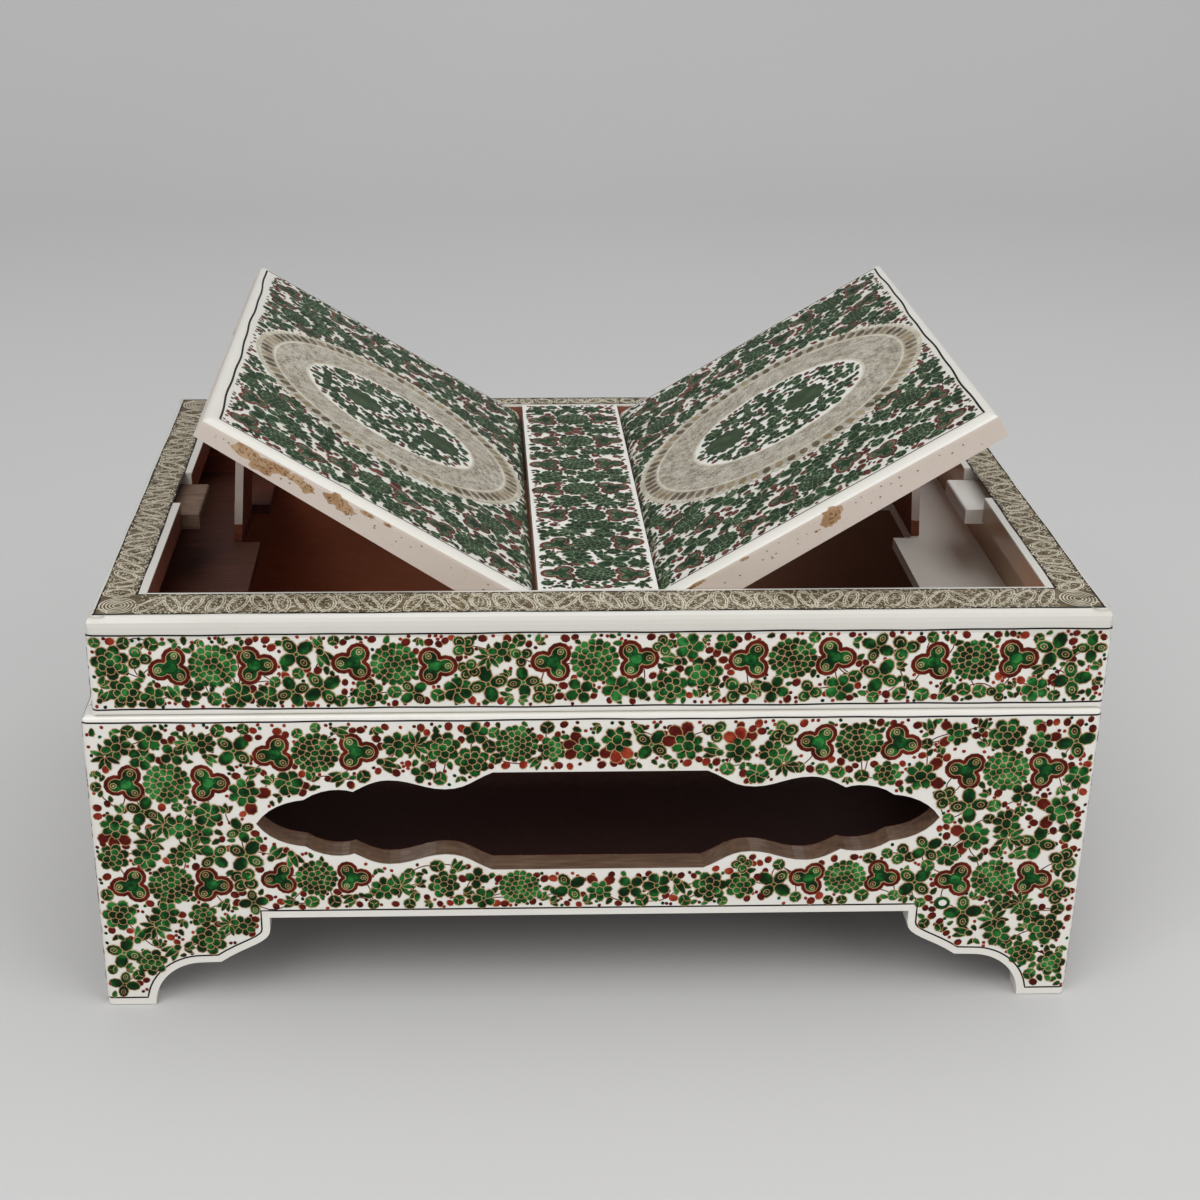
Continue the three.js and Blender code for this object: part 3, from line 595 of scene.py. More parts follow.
class Board:
    # a flat painted face, measured in millimetres across and up from its origin
    def __init__(self, name, body, origin, across, up, nodes, seedling):
        self.name = name
        self.body = body
        self.rng = random.Random(seedling)
        across, up = Vector(across), Vector(up)
        axes = Matrix((across, up, across.cross(up))).transposed().to_4x4()
        self.matrix = Matrix.Translation(Vector(origin) * mm) @ axes @ Matrix.Scale(mm, 4)
        self.film = bmesh.new()
        self.placed = {}
        self.spots = []
        self.root = None
        self.flat = (-math.inf, math.inf)  # past these the face rounds off and the paint follows it
        whole = bmesh.new()
        for node in nodes:
            whole.from_mesh(frame["nodes"][node].data)
        self.solid = BVHTree.FromBMesh(whole)
        whole.free()

    def depth(self, x, y):
        # how far the surface lies under the face here, or None where a ray misses it
        ahead = -(self.matrix.to_3x3() @ Vector((0, 0, 1))).normalized()
        hit = self.solid.ray_cast(self.matrix @ Vector((x, y, probe["above"])), ahead, probe["ray"] * mm)
        return None if hit[0] is None else hit[3] / mm - probe["above"]

    def covers(self, x, y):
        if self.root and x * self.root <= 0:
            return True
        depth = self.depth(x, y)
        most = probe["flatDepth"] if self.flat[0] < x < self.flat[1] else probe["edgeDepth"]
        return depth is not None and abs(depth) < most

    def drop(self, x, y):
        # the depth here, or at the nearest point inward that has any
        depths = (self.depth(x - math.copysign(inward, x), y) for inward in probe["inward"])
        return next((depth for depth in depths if depth is not None), 0)

    def past(self, vert):
        return not self.flat[0] <= vert.co.x <= self.flat[1]

    def refine(self, mesh):
        # cuts up what lies past the flat part, so that it can follow the rounded edge
        bm = bmesh.new()
        bm.from_mesh(mesh)
        for _ in range(3):
            faces = [f for f in bm.faces if len(f.verts) > 3 and any(self.past(v) for v in f.verts)]
            bmesh.ops.triangulate(bm, faces=faces)
            long = [e for e in bm.edges
                    if e.calc_length() > probe["longest"] and any(self.past(v) for v in e.verts)]
            bmesh.ops.subdivide_edges(bm, edges=long, cuts=1)
        bm.to_mesh(mesh)
        bm.free()

    def clearance(self, x, y, most, fence=False):
        # how far the nearest claimed ground is, up to most, or only the nearest edge of the board
        cell = probe["cell"]
        reach = most + cell
        for i in range(int((x - reach) // cell), int((x + reach) // cell) + 1):
            for j in range(int((y - reach) // cell), int((y + reach) // cell) + 1):
                for px, py, pr, edge in self.placed.get((i, j), ()):
                    if edge or not fence:
                        most = min(most, math.hypot(px - x, py - y) - pr)
        return most

    def claim(self, x, y, radius, edge=False):
        cell = probe["cell"]
        self.placed.setdefault((int(x // cell), int(y // cell)), []).append((x, y, radius, edge))
        if not edge:
            self.spots.append((x, y, radius))

    def stamp(self, mesh, x, y, turn=0.0, scale=1.0, stretch=1.0, lift=1.0):
        rise = self.rng.uniform(0, lift) * coats["layer"]
        where = Matrix.Translation((x, y, rise)) @ Matrix.Rotation(turn, 4, "Z")
        copy = mesh.copy()
        copy.transform(where @ Matrix.Diagonal((scale, scale * stretch, 1, 1)))
        if any(self.past(v) for v in copy.vertices):
            self.refine(copy)
        for v in copy.vertices:
            if self.root and v.co.x * self.root < 0:  # past the pivot the paint follows the round root
                radius, angle = leaf["top"] + v.co.z, v.co.x / leaf["top"]
                v.co.x, v.co.z = radius * math.sin(angle), radius * math.cos(angle) - leaf["top"]
            elif not self.flat[0] < v.co.x < self.flat[1]:
                v.co.z -= self.drop(v.co.x, v.co.y)
        copy.transform(self.matrix)
        self.film.from_mesh(copy)
        bpy.data.meshes.remove(copy)

    def flower(self, stamps, name, x, y, turn, scale, stretch=1.0):
        self.stamp(self.rng.choice(stamps[name]), x, y, turn, scale, stretch, 5)
        self.claim(x, y, flowers[name][1] * scale)

    def draw(self, action, *args, **kwargs):
        # runs a brush in the board's own millimetres
        bm = bmesh.new()
        action(bm, *args, **kwargs)
        mesh = meshFrom(bm, "brushwork")
        self.stamp(mesh, 0, 0)
        bpy.data.meshes.remove(mesh)

    def line(self, start, end, width, sway=0.12):
        self.draw(stroke, handLine(start, end, self.rng, sway), width, "black", 1)

    def cluster(self, stamps, x, y, scale=1.0, tilt=0.0):
        # a scale flower between two trefoils
        self.flower(stamps, "scaleBloom", x, y, tilt, scale, self.rng.uniform(0.95, 1.02))
        reach = group["reach"] * scale
        for side in (-1, 1):
            turn = tilt + (0 if side > 0 else math.pi) + self.rng.uniform(-0.2, 0.2)
            spot = (x + side * reach * math.cos(tilt), y + side * reach * math.sin(tilt))
            self.flower(stamps, "trefoil", *spot, turn, scale * group["trefoil"])

    def scatter(self, stamps, span, tries, grow=1.0, kinds=None, gap=0.0, smallest=0.62, inside=None):
        # fills the free ground, each flower as large as the gap it falls in allows
        x0, x1, y0, y1 = span
        rng = self.rng
        sizes = {n: f[1] * grow for n, f in flowers.items() if f[2] and (not kinds or n in kinds)}
        largest = max(sizes.values()) * fill["largest"]
        for attempt in range(tries):
            least = max(smallest, largest * fill["first"] - fill["shrink"] * attempt / tries)
            x, y = rng.uniform(x0, x1), rng.uniform(y0, y1)
            brink = min(x - x0, x1 - x, y - y0, y1 - y) + fill["overEdge"]
            if brink < least or (inside and not inside(x, y)):
                continue
            room = min(brink, self.clearance(x, y, largest) - gap)
            if room < least or not self.covers(x, y):
                continue
            brink = min(brink, self.clearance(x, y, fill["look"], True) + fill["overFence"])
            fitting = [n for n in sizes
                       if sizes[n] * fill["fits"] <= room and reaches[n] * grow * fill["tipFits"] <= brink]
            sized = [n for n in fitting if sizes[n] > room * fill["worth"]] or fitting[-1:]
            if not sized:
                continue
            name = rng.choices(sized, [flowers[n][2] for n in sized])[0]
            scale = min(grow * fill["grown"], room / flowers[name][1], brink / reaches[name])
            ring = [(x + dx, y + dy) for dx, dy, _ in spread(10, reaches[name] * scale * fill["ring"])]
            if all(self.covers(*p) and (not inside or inside(*p)) for p in ring):
                self.flower(stamps, name, x, y, rng.uniform(0, 6.28), scale)

    def stems(self, share=0.9, width=0.42, paint="maroon"):
        # thin curved stalks under the flowers, from some of them to a near neighbour
        large = [s for s in self.spots if s[2] > stalk["flower"]]
        for x, y, _ in large:
            if self.rng.random() > share:
                continue
            near = sorted((math.hypot(px - x, py - y), px, py) for px, py, _ in large if (px, py) != (x, y))
            distance, px, py = near[self.rng.choice([0, 1, 2, 3])]
            if distance > stalk["longest"]:
                continue
            bow = self.rng.uniform(-stalk["bow"], stalk["bow"])
            side = Vector((y - py, px - x)).normalized() * distance * bow
            start, end = Vector((x, y)), Vector((px, py))
            path = [start.lerp(end, k / 5) + side * 4 * k / 5 * (1 - k / 5) for k in range(6)]
            if all(self.covers(p.x, p.y) and self.clearance(p.x, p.y, 1, True) > 0 for p in path):
                self.draw(stroke, path, width, paint, -0.5, 0.3)

    def finish(self):
        mesh = meshFrom(self.film, self.name)
        for paint in paintNames:
            mesh.materials.append(paints[paint])
        piece = addObject(self.name, mesh)
        coat = piece.modifiers.new("coat", "SOLIDIFY")
        coat.thickness = coats["film"] * mm
        coat.offset = -1
        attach(piece, self.body)
        count = sum(4 * len(f.vertices) - 4 for f in mesh.polygons)
        print(self.name, "painted,", len(mesh.polygons), "dabs,", count, "triangles")


base = {
    "front": lowMm("base_front_panel").y, "back": highMm("base_back_panel").y,
    "left": lowMm("base_left_panel").x, "right": highMm("base_right_panel").x,
    "high": 116.9, "lineWidth": 0.6, "inset": 0.6, "round": 2.7,
    "footMargin": 3.0, "footTop": 45, "windowLow": 20,
    "seams": (highMm("base_front_panel").y, lowMm("base_back_panel").y), "seamHalf": 1.6,
}
lid = {
    "front": lowMm("lid_front_board").y, "back": highMm("lid_back_board").y,
    "left": lowMm("lid_left_board").x, "right": highMm("lid_right_board").x,
    "low": 121.8, "high": 150.0, "lineWidth": 0.6, "inset": 0.3, "round": 2.5,
    "seam": 146.5, "seamHalf": 2.2, "seamInset": 1.6, "tries": 8000,
}


def edgeLoops(board, node):
    # the outline of a board's painted face and of its window, as closed loops of points
    bm = bmesh.new()
    bm.from_mesh(frame["nodes"][node].data)
    bmesh.ops.remove_doubles(bm, verts=bm.verts, dist=0.00001)
    bmesh.ops.transform(bm, matrix=board.matrix.inverted(), verts=bm.verts)
    others = [f for f in bm.faces if any(abs(v.co.z) > 0.05 for v in f.verts)]
    bmesh.ops.delete(bm, geom=others, context="FACES")
    edges = dict.fromkeys(e for e in bm.edges if len(e.link_faces) == 1)  # unlike a set, in a fixed order
    loops = []
    while edges:
        edge = next(iter(edges))
        del edges[edge]
        here, loop = edge.verts[0], []
        while True:
            loop.append(Vector(here.co.xy))
            onward = [e for e in here.link_edges if e in edges]
            if not onward:
                break
            del edges[onward[0]]
            here = onward[0].other_vert(here)
        loops.append(loop)
    bm.free()
    return loops


def denser(points, spacing=0.8):
    every = []
    for before, after in zip(points, points[1:]):
        steps = max(1, int((after - before).length / spacing))
        every += [before.lerp(after, k / steps) for k in range(steps)]
    return every + points[-1:]


def footLine(board, node, margin, width):
    # the black line that follows the feet and the apron a little way in from their edge
    for loop in edgeLoops(board, node):
        outside = max(abs(p.x) for p in loop)
        if min(p.y for p in loop) > base["windowLow"]:
            for p in denser(loop + loop[:1]):
                board.claim(p.x, p.y, 1.0, True)
            continue
        first = max(range(len(loop)), key=lambda i: loop[i].y)
        edge = [p for p in loop[first:] + loop[:first]
                if p.y < base["footTop"] and (abs(p.x) < outside - 0.01 or p.y < 2)]
        edge = [p for i, p in enumerate(edge) if not i or (p - edge[i - 1]).length > 0.01]
        if edge[0].x > edge[-1].x:
            edge.reverse()
        edge = denser(edge, 2)
        for p in denser(edge):
            board.claim(p.x, p.y, margin + 0.3, True)
        path = []
        for before, here, after in zip(edge, edge[1:], edge[2:]):
            ways = (here - before).normalized(), (after - here).normalized()
            sides = [Vector((-way.y, way.x)) for way in ways]
            point = here + (sides[0] + sides[1]) * margin / max(0.5, 1 + sides[0].dot(sides[1]))
            if min((q - point).length for q in edge) > margin * 0.93 and abs(point.x) < outside - 1:
                path.append(point)
        ends = [Vector((side * (outside + 1.6), margin)) for side in (-1, 1)]
        board.draw(stroke, ends[:1] + path + ends[1:], width, "black", 1)


# middle of each group of a scale flower and two trefoils, with its size and tilt where they aren't 1 and 0
frontGroups = [
    (-149.8, 92.9), (-97.4, 104.6, 1.0, 0.02), (-151.0, 51.3), (-98.9, 53.7, 0.9),
    (93.3, 106.9, 1.0, -0.02), (146.4, 95.2, 0.99), (146.2, 50.4, 0.97), (92.0, 51.7, 0.92, 0.02),
]
frontSingles = [
    ("halfBloom", -52.9, 106.3, 1.1, 0.3), ("scaleBloom", -26.9, 107.6, 0.9, 0.0),
    ("redPetals", 8.1, 107.2, 1.1, -1.6), ("redPetals", 51.4, 106.0, 1.1, 1.6),
    ("halfBloom", -53.1, 50.4, 1.0, 0.0), ("scaleBloom", -26.0, 49.0, 0.86, 0.0),
    ("redPetals", 3.3, 48.6, 0.95, 1.5), ("halfBloom", 54.1, 49.0, 1.0, 0.0),
    ("ringBloom", 128.4, 40.3, 0.9, 0.0),
]
sideGroups = [
    (-66, 95), (0, 101), (66, 95), (-80, 52, 0.98), (-10, 57), (62, 54, 0.96),
    (-32, 78, 0.95, 0.1), (34, 77, 0.95, -0.1),
]
backGroups = [
    (-148, 95), (-90, 99), (-31, 98), (29, 99), (88, 99), (147, 94), (-60, 75), (0, 73), (59, 75, 1.0, -0.1),
    (-150, 50), (-60, 51, 0.95), (30, 50, 0.95), (148, 49),
]
# the lid's groups, the first row as the photograph has them
lidGroups = {
    "front": [(-131.2, 138.2), (-69.0, 138.5, 0.98), (-0.2, 139.3), (68.0, 139.6), (131.2, 138.3)],
    "back": [(x, 136.6) for x in (-144, -86, -29, 28, 85, 142)],
    "side": [(x, 136.6) for x in (-86, -29, 28, 84)],
}


def paintBase(board, node, half, groups, singles, tries):
    footLine(board, node, base["footMargin"], base["lineWidth"])
    for spot in groups:
        board.cluster(goldStamps, *spot)
    for kind, x, y, scale, turn in singles:
        board.flower(goldStamps, kind, x, y, turn, scale)
    for way in (-1, 1):
        board.flower(goldStamps, "halfBloom", way * (half - 17), 18.5, 0.4, 1.0)
    board.line((-half, base["high"]), (half, base["high"]), base["lineWidth"])
    board.scatter(goldStamps, (0.4 - half, half - 0.4, 0.4, base["high"] - 0.4), tries, gap=-0.3, smallest=0.8)
    board.stems()
    board.finish()


def paintLid(side, origin, across, nodes, span, groups, seedling):
    board = Board(f"lid_{side}_painting", "lid", origin, across, (0, 0, 1), nodes, seedling)
    left, right = span[0] + lid["inset"], span[1] - lid["inset"]
    seam, half, inset = lid["seam"], lid["seamHalf"], lid["seamInset"]
    board.flat = (left + lid["round"], right - lid["round"])
    board.draw(patch, left + inset, right - inset, seam - half, seam + half, "lacquer")
    for spot in groups:
        board.cluster(goldStamps, *spot, tilt=board.rng.uniform(-0.06, 0.06))
    for y in (lid["low"], lid["high"]):
        board.line((left, y), (right, y), lid["lineWidth"])
    span = (left + 0.7, right - 0.7, lid["low"] + 0.3, lid["high"] - 0.3)
    board.scatter(goldStamps, span, lid["tries"], gap=-0.3, smallest=0.8)
    board.stems()
    board.finish()


def paintSides():
    edge, inset = base["round"], base["inset"]
    fronts = (("front", 1, frontGroups, frontSingles, 11, 15000), ("back", -1, backGroups, (), 12, 11000))
    for name, way, groups, singles, seedling, tries in fronts:
        node = f"base_{name}_panel"
        board = Board(f"base_{name}_painting", "base", (0, base[name], 0), (way, 0, 0), (0, 0, 1),
                      [node], seedling)
        board.flat = (edge - base["right"], base["right"] - edge)
        paintBase(board, node, base["right"] - inset, groups, singles, tries)
    middle = (base["front"] + base["back"]) / 2
    for name, way, seedling in (("right", 1, 13), ("left", -1, 14)):
        node = f"base_{name}_panel"
        board = Board(f"base_{name}_painting", "base", (base[name], middle, 0), (0, way, 0), (0, 0, 1),
                      [node, "base_front_panel", "base_back_panel"], seedling)
        board.flat = (middle - base["back"] + edge, base["back"] - middle - edge)
        for seam in base["seams"]:
            x, half = way * (seam - middle), base["seamHalf"]
            board.draw(patch, x - half, x + half, 0.6, base["high"], "lacquer")
        paintBase(board, node, base["back"] - inset - middle, sideGroups, (), 12000)
    for name, way, seedling in (("front", 1, 21), ("back", -1, 22)):
        paintLid(name, (0, lid[name], 0), (way, 0, 0), [f"lid_{name}_board", f"frame_{name}_rail"],
                 sorted((way * lid["left"], way * lid["right"])), lidGroups[name], seedling)
    for name, way, seedling in (("right", 1, 23), ("left", -1, 24)):
        nodes = [f"lid_{name}_board", f"frame_{name}_rail", "lid_front_board", "lid_back_board"]
        paintLid(name, (lid[name], 0, 0), (0, way, 0), nodes,
                 sorted((way * lid["front"], way * lid["back"])), lidGroups["side"], seedling)


paintSides()


top = {
    "height": highMm("frame_front_rail").z,
    "left": highMm("frame_left_rail").x, "right": lowMm("frame_right_rail").x,
    "front": highMm("frame_front_rail").y, "back": lowMm("frame_back_rail").y,
    "ease": 3.2, "margin": 1.5, "sideMargin": 3.2, "repeat": 7.4, "fine": 1.6, "coarse": 2.1,
    "corner": 14, "cornerMiddle": (6.9, 7.0), "cornerRings": (6.3, 5.1, 3.9, 2.7, 1.5),
}


def almond(bm, at, turn, halfWide, halfTall, lean, rng):
    # a pointed oval in two fine lines
    for inset in (0, 0.85):
        path = []
        for k in range(13):
            a = 2 * math.pi * k / 12
            x, y = (halfWide - inset) * math.sin(a), (halfTall - inset * 1.3) * math.cos(a)
            x += lean * y + rng.uniform(-0.15, 0.15)
            path.append(Vector(turned(at, x, y, turn)))
        stroke(bm, path, 0.46, "cream", 1)


def curl(bm, at, radius, rng, paint):
    start = rng.uniform(0, 6)
    stroke(bm, arc(at, radius, start, start + rng.uniform(2.4, 4.0), 3), 0.36, paint, 2)


def scrollBand(board, start, end, inward, wide, pitch):
    # leaning ovals side by side and small curls in and between them, over a grey-brown ground
    start, end, inward = Vector(start), Vector(end), Vector(inward)
    along = (end - start).normalized()
    length = (end - start).length
    count = int(length / top["repeat"])
    turn = math.atan2(-inward.x, inward.y)
    rng = board.rng
    for i in range(count):
        spot = start.lerp(end, (i + 0.5) / count) + inward * wide * rng.uniform(0.46, 0.54)
        lean = rng.choice([0.55, 0.3, -0.1, -0.4]) + rng.uniform(-0.1, 0.1)
        halfWide, halfTall = top["repeat"] * rng.uniform(0.34, 0.5), wide * rng.uniform(0.4, 0.47)
        board.draw(almond, spot, turn, halfWide, halfTall, lean, rng)
    rows = max(2, round(wide / pitch))
    for i in range(int(length / pitch)):
        for row in range(rows):
            at = start + along * (i + 0.5 * (row % 2) + rng.uniform(0, 0.4)) * pitch
            at += inward * (row + 0.5 + rng.uniform(-0.15, 0.15)) * wide / rows
            radius = pitch * rng.uniform(0.34, 0.48)
            board.draw(curl, at, radius, rng, rng.choice(["cream", "cream", "cream", "bandGold"]))


def paintFrame():
    rails = [f"frame_{side}_rail" for side in ("front", "back", "left", "right")]
    board = Board("frame_painting", "lid", (0, 0, top["height"]), (1, 0, 0), (0, 1, 0), rails, 31)
    ease, corner, coarse = top["ease"], top["corner"], top["coarse"]
    left, right, front, back = lid["left"] + ease, lid["right"] - ease, lid["front"] + ease, lid["back"] - ease
    innerLeft, innerRight = top["left"] - top["sideMargin"], top["right"] + top["sideMargin"]
    innerFront, innerBack = top["front"] - top["margin"], top["back"] + top["margin"]
    for area in ((left, right, front, innerFront), (left, right, innerBack, back),
                 (left, innerLeft, innerFront, innerBack), (innerRight, right, innerFront, innerBack)):
        board.draw(patch, *area, "umber")
    for y, way, wide, pitch in ((front, 1, innerFront - front, top["fine"]),
                                (back, -1, back - innerBack, coarse)):
        scrollBand(board, (left + corner, y), (right - corner, y), (0, way), wide, pitch)
    for x, way, wide in ((left, 1, innerLeft - left), (right, -1, right - innerRight)):
        scrollBand(board, (x, front + corner), (x, back - corner), (way, 0), wide, coarse)
    for x, wayX in ((left, 1), (right, -1)):
        for y, wayY in ((front, 1), (back, -1)):
            middle = (x + wayX * top["cornerMiddle"][0], y + wayY * top["cornerMiddle"][1])
            for radius in top["cornerRings"]:
                board.draw(stroke, arc(middle, radius, 0.4, 6.5, 18), 0.5, "cream", 1, 0.2)
            board.draw(stroke, arc((x + wayX, y + wayY), 3.4, 0.0, 6.2, 8), 0.5, "cream", 1)
    width = lid["lineWidth"]
    for y in (front, back):
        board.line((left - 0.6, y), (right + 0.6, y), width * 1.5)
    for x in (left, right):
        board.line((x, front), (x, back), width)
    for y in (innerFront, innerBack):
        board.line((innerLeft, y), (innerRight, y), 0.5)
    for x in (innerLeft, innerRight):
        board.line((x, innerFront), (x, innerBack), width * 1.3)
    board.finish()


leaf = {
    "reach": 126.4, "edge": 4.4, "top": 6.5, "round": 4.0, "grow": 1.0, "gap": -0.25, "tries": 16000,
    "left": {"tip": (5.2, 2.8), "middle": (58.4, 4.0), "outer": (58.6, 53.0)},
    "right": {"tip": (3.4, 2.6), "middle": (60.0, 4.0), "outer": (61.0, 53.0)},
    "ringWidth": 6.9, "lozenges": 70, "beads": 124, "claims": 150,
    "rows": (0.08, 0.2, 0.32, 0.44, 0.56, 0.68, 0.8, 0.92), "curlPitch": 3.2,
    "field": (37.5, 30.0), "fieldSpan": (38, 30), "spots": (36.5, 71.7), "spotRadius": 8.8,
    "fieldFlowers": ("eyePetal", "fivePetal", "curlBloom", "lily", "bud", "leafTrio", "smallLeaf", "berry"),
}
leafGroups = [
    (22, -84, 0.1), (62, -75, 0.0), (100, -83, -0.1), (105, -50, -0.9), (13, -52, -0.9),
    (22, 90, 0.0), (62, 80, 0.05), (99, 89, 0.0), (106, 59, 0.9), (13, 61, 0.9),
]


def paintStrip():
    node = "centre_strip"
    (left, front, _), (right, back, high) = lowMm(node), highMm(node)
    board = Board("strip_painting", "lid", ((left + right) / 2, 0, high), (1, 0, 0), (0, 1, 0), [node], 41)
    half, rng = (right - left) / 2, board.rng
    for row in range(7):
        board.cluster(sageStamps, rng.uniform(-1, 1), front + 14 + row * 28.6, 0.88, rng.uniform(-0.1, 0.1))
    area = (-half + 1.2, half - 1.2, front + 0.8, back - 0.8)
    board.scatter(sageStamps, area, 9000, leaf["grow"], gap=leaf["gap"])
    board.stems(0.4, 0.5, "russet")
    board.finish()


def ellipseShare(centre, halves, x, y):
    # 1 on the rim of an oval, less inside it
    return math.hypot((x - centre[0]) / halves[0], (y - centre[1]) / halves[1])


def oval(centre, halves, angle):
    return centre[0] + halves[0] * math.cos(angle), centre[1] + halves[1] * math.sin(angle)


def around(centre, halves, count, shift=0.0):
    # places evenly round an oval, each with the angle that faces out there
    for i in range(count):
        a = 2 * math.pi * (i + shift) / count
        yield oval(centre, halves, a), math.atan2(math.sin(a) * halves[0], math.cos(a) * halves[1])


def medallion(board, centre, outer):
    # the pale oval: a ring of lozenges, a finely patterned band and a flower field
    rng, field = board.rng, leaf["field"]
    ring = [half - leaf["ringWidth"] for half in outer]
    for halves, paint, level, sides in ((outer, "palePaste", 6, 72), (field, "lacquer", 8, 60)):
        board.draw(dab, centre, halves, paint, level, 0, 0, sides)
    for at, out in around(centre, [(o + r) / 2 for o, r in zip(outer, ring)], leaf["lozenges"]):
        board.draw(dab, at, (2.7, 1.8), rng.choice(["umber", "umber", "bandGold"]), 8, out, 0.15, 6)
    for at, _ in around(centre, outer, leaf["beads"]):
        board.draw(dab, at, (1.15, 1.15), "cream", 9, 0, 0, 7)
    for share in leaf["rows"]:
        halves = [r + (f - r) * share for r, f in zip(ring, field)]
        count = int(2.0 * math.pi * (halves[0] + halves[1]) / 2 / leaf["curlPitch"])
        for at, out in around(centre, halves, count, 0.5 * (round(share * 10) % 2)):
            path = arc(at, 1.2, -1.2, 1.9, 4, 0.8, out + rng.uniform(-0.4, 0.4))
            board.draw(stroke, path, 0.34, rng.choice(["cream", "cream", "cream", "bandGold", "umber"]), 8)
    for halves, wide in ((ring, 1.1), (field, 1.0)):
        path = [Vector(oval(centre, halves, k / 36 * math.pi)) for k in range(73)]
        board.draw(stroke, path, wide, "cream", 10)


def leafPlane(side):
    # the top of a leaf: pivot, way it points, direction along it and away from it
    joint = next(j for j in frame["joints"] if j["name"] == f"{side}_leaf_pivot")
    way = 1 if side == "right" else -1
    tilt = math.radians(-joint["range_deg"][0])
    across = Vector((math.cos(tilt), 0, way * math.sin(tilt)))
    normal = Vector((-way * math.sin(tilt), 0, math.cos(tilt)))
    return Vector(joint["pos_m"]) / mm, way, across, normal


def paintLeaf(side, seedling):
    pivot, way, across, normal = leafPlane(side)
    node = f"{side}_leaf_board"
    origin = Vector((pivot.x, 0, pivot.z)) + normal * leaf["top"]
    board = Board(f"{side}_leaf_painting", f"leaf_{side}", origin, across, (0, 1, 0), [node], seedling)
    front, back = lowMm(node).y + leaf["edge"], highMm(node).y - leaf["edge"]
    tips = [leaf["reach"] - inset for inset in leaf[side]["tip"]]
    (x, middle), rim = leaf[side]["middle"], leaf[side]["outer"]
    centre = (way * x, middle)
    board.root = way
    board.flat = (leaf["round"] - leaf["reach"], leaf["reach"] - leaf["round"])
    board.line((way * 0.4, front), (way * tips[0], front), 0.5)
    board.line((way * 0.4, back), (way * tips[1], back), 0.5)
    board.line((way * tips[0], front), (way * tips[1], back), 0.75, 0.32)
    for at, _ in around(centre, [half - 2 for half in rim], leaf["claims"]):
        board.claim(*at, 3.2, True)
    for x, y, tilt in leafGroups:
        board.cluster(sageStamps, way * x, y, 0.86, way * tilt)
    area = (*sorted((-way * 7.4, way * (min(tips) - 0.9))), front + 0.4, back - 0.4)
    board.scatter(sageStamps, area, leaf["tries"], leaf["grow"], None, leaf["gap"],
                  inside=lambda x, y: ellipseShare(centre, rim, x, y) > 1)
    board.stems(0.3, 0.5, "russet")
    medallion(board, centre, rim)
    radius = leaf["spotRadius"]
    for spot in leaf["spots"]:
        board.draw(dab, (way * spot, middle), (radius, radius * 0.96), "mossGreen", 12, 0, 0, 20)
        for dx, dy, a in spread(14, radius * 0.92):
            board.draw(dab, (way * spot + dx, middle + dy), (1.7, 1.5), "mossGreen", 12.5, a, 0, 7)
        board.claim(way * spot, middle, radius + 0.6)
    raised = {name: [lifted(mesh, 9) for mesh in made] for name, made in sageStamps.items()}
    long, tall = leaf["fieldSpan"]
    area = (centre[0] - long, centre[0] + long, centre[1] - tall, centre[1] + tall)
    board.scatter(raised, area, 6000, 0.85, leaf["fieldFlowers"], 0.1,
                  inside=lambda x, y: ellipseShare(centre, leaf["field"], x, y) < 0.98)
    board.finish()


def lifted(mesh, levels):
    copy = mesh.copy()
    copy.transform(Matrix.Translation((0, 0, levels * coats["layer"])))
    return copy


# flakes lost from the leaves' front edges: place along the leaf and down from its top, size in millimetres
chips = {
    "left": [(108, 4.4, 6.0, 2.4), (101.5, 5.4, 6.0, 2.8), (95.5, 4.0, 5.0, 1.7), (88.5, 4.2, 3.8, 1.5),
             (84, 5.2, 2.6, 1.8), (73.5, 4.0, 5.2, 2.2), (69.5, 5.2, 3.6, 1.8), (62, 3.0, 2.8, 0.8),
             (54, 2.8, 1.6, 0.6)],
    "right": [(62, 4.0, 4.2, 2.6), (59.5, 5.6, 3.2, 2.2), (54, 6.8, 0.7, 0.5), (28, 2.8, 1.8, 0.6),
              (8, 2.6, 5, 0.7)],
    "shades": 2.5, "specks": 26,
}


def paintEdges(side, seedling):
    pivot, way, across, normal = leafPlane(side)
    node = f"{side}_leaf_board"
    origin = Vector((pivot.x, lowMm(node).y, pivot.z)) + normal * leaf["top"]
    board = Board(f"{side}_leaf_chips", f"leaf_{side}", origin, across, normal, [node], seedling)
    rng = board.rng
    for x, down, long, tall in chips[side]:
        board.draw(dab, (way * x, -down), (long, tall), "chip", 0, 0, 0, 18, rng)
        for _ in range(int(long * chips["shades"])):
            spot = (way * x + rng.uniform(-0.6, 0.6) * long, -down + rng.uniform(-0.6, 0.6) * tall)
            if board.covers(*spot):
                board.draw(dab, spot, (rng.uniform(0.25, 0.7), rng.uniform(0.2, 0.35)), "chipShade", 1.5,
                           rng.uniform(-0.5, 0.5), 0, 6, rng)
    for _ in range(chips["specks"]):
        spot = (way * rng.uniform(12, 118), -rng.uniform(3.5, 8))
        if board.covers(*spot):
            board.draw(dab, spot, (rng.uniform(0.2, 0.5), rng.uniform(0.15, 0.3)), "umber", 1, 0, 0, 5)
    board.finish()


paintFrame()
paintStrip()
paintEdges("left", 61)
paintEdges("right", 62)
paintLeaf("left", 51)
paintLeaf("right", 52)


# the floor and the wall behind the box, in metres, their colours, and the light from all round
studio = {
    "half": 6, "middle": -4.2, "low": -0.0003, "wall": 2.6, "bend": 0.6,
    "floor": (tone(206, 205, 203), tone(214, 213, 211)), "sky": (0.93, 0.95, 1, 1), "skyPower": 0.44,
}


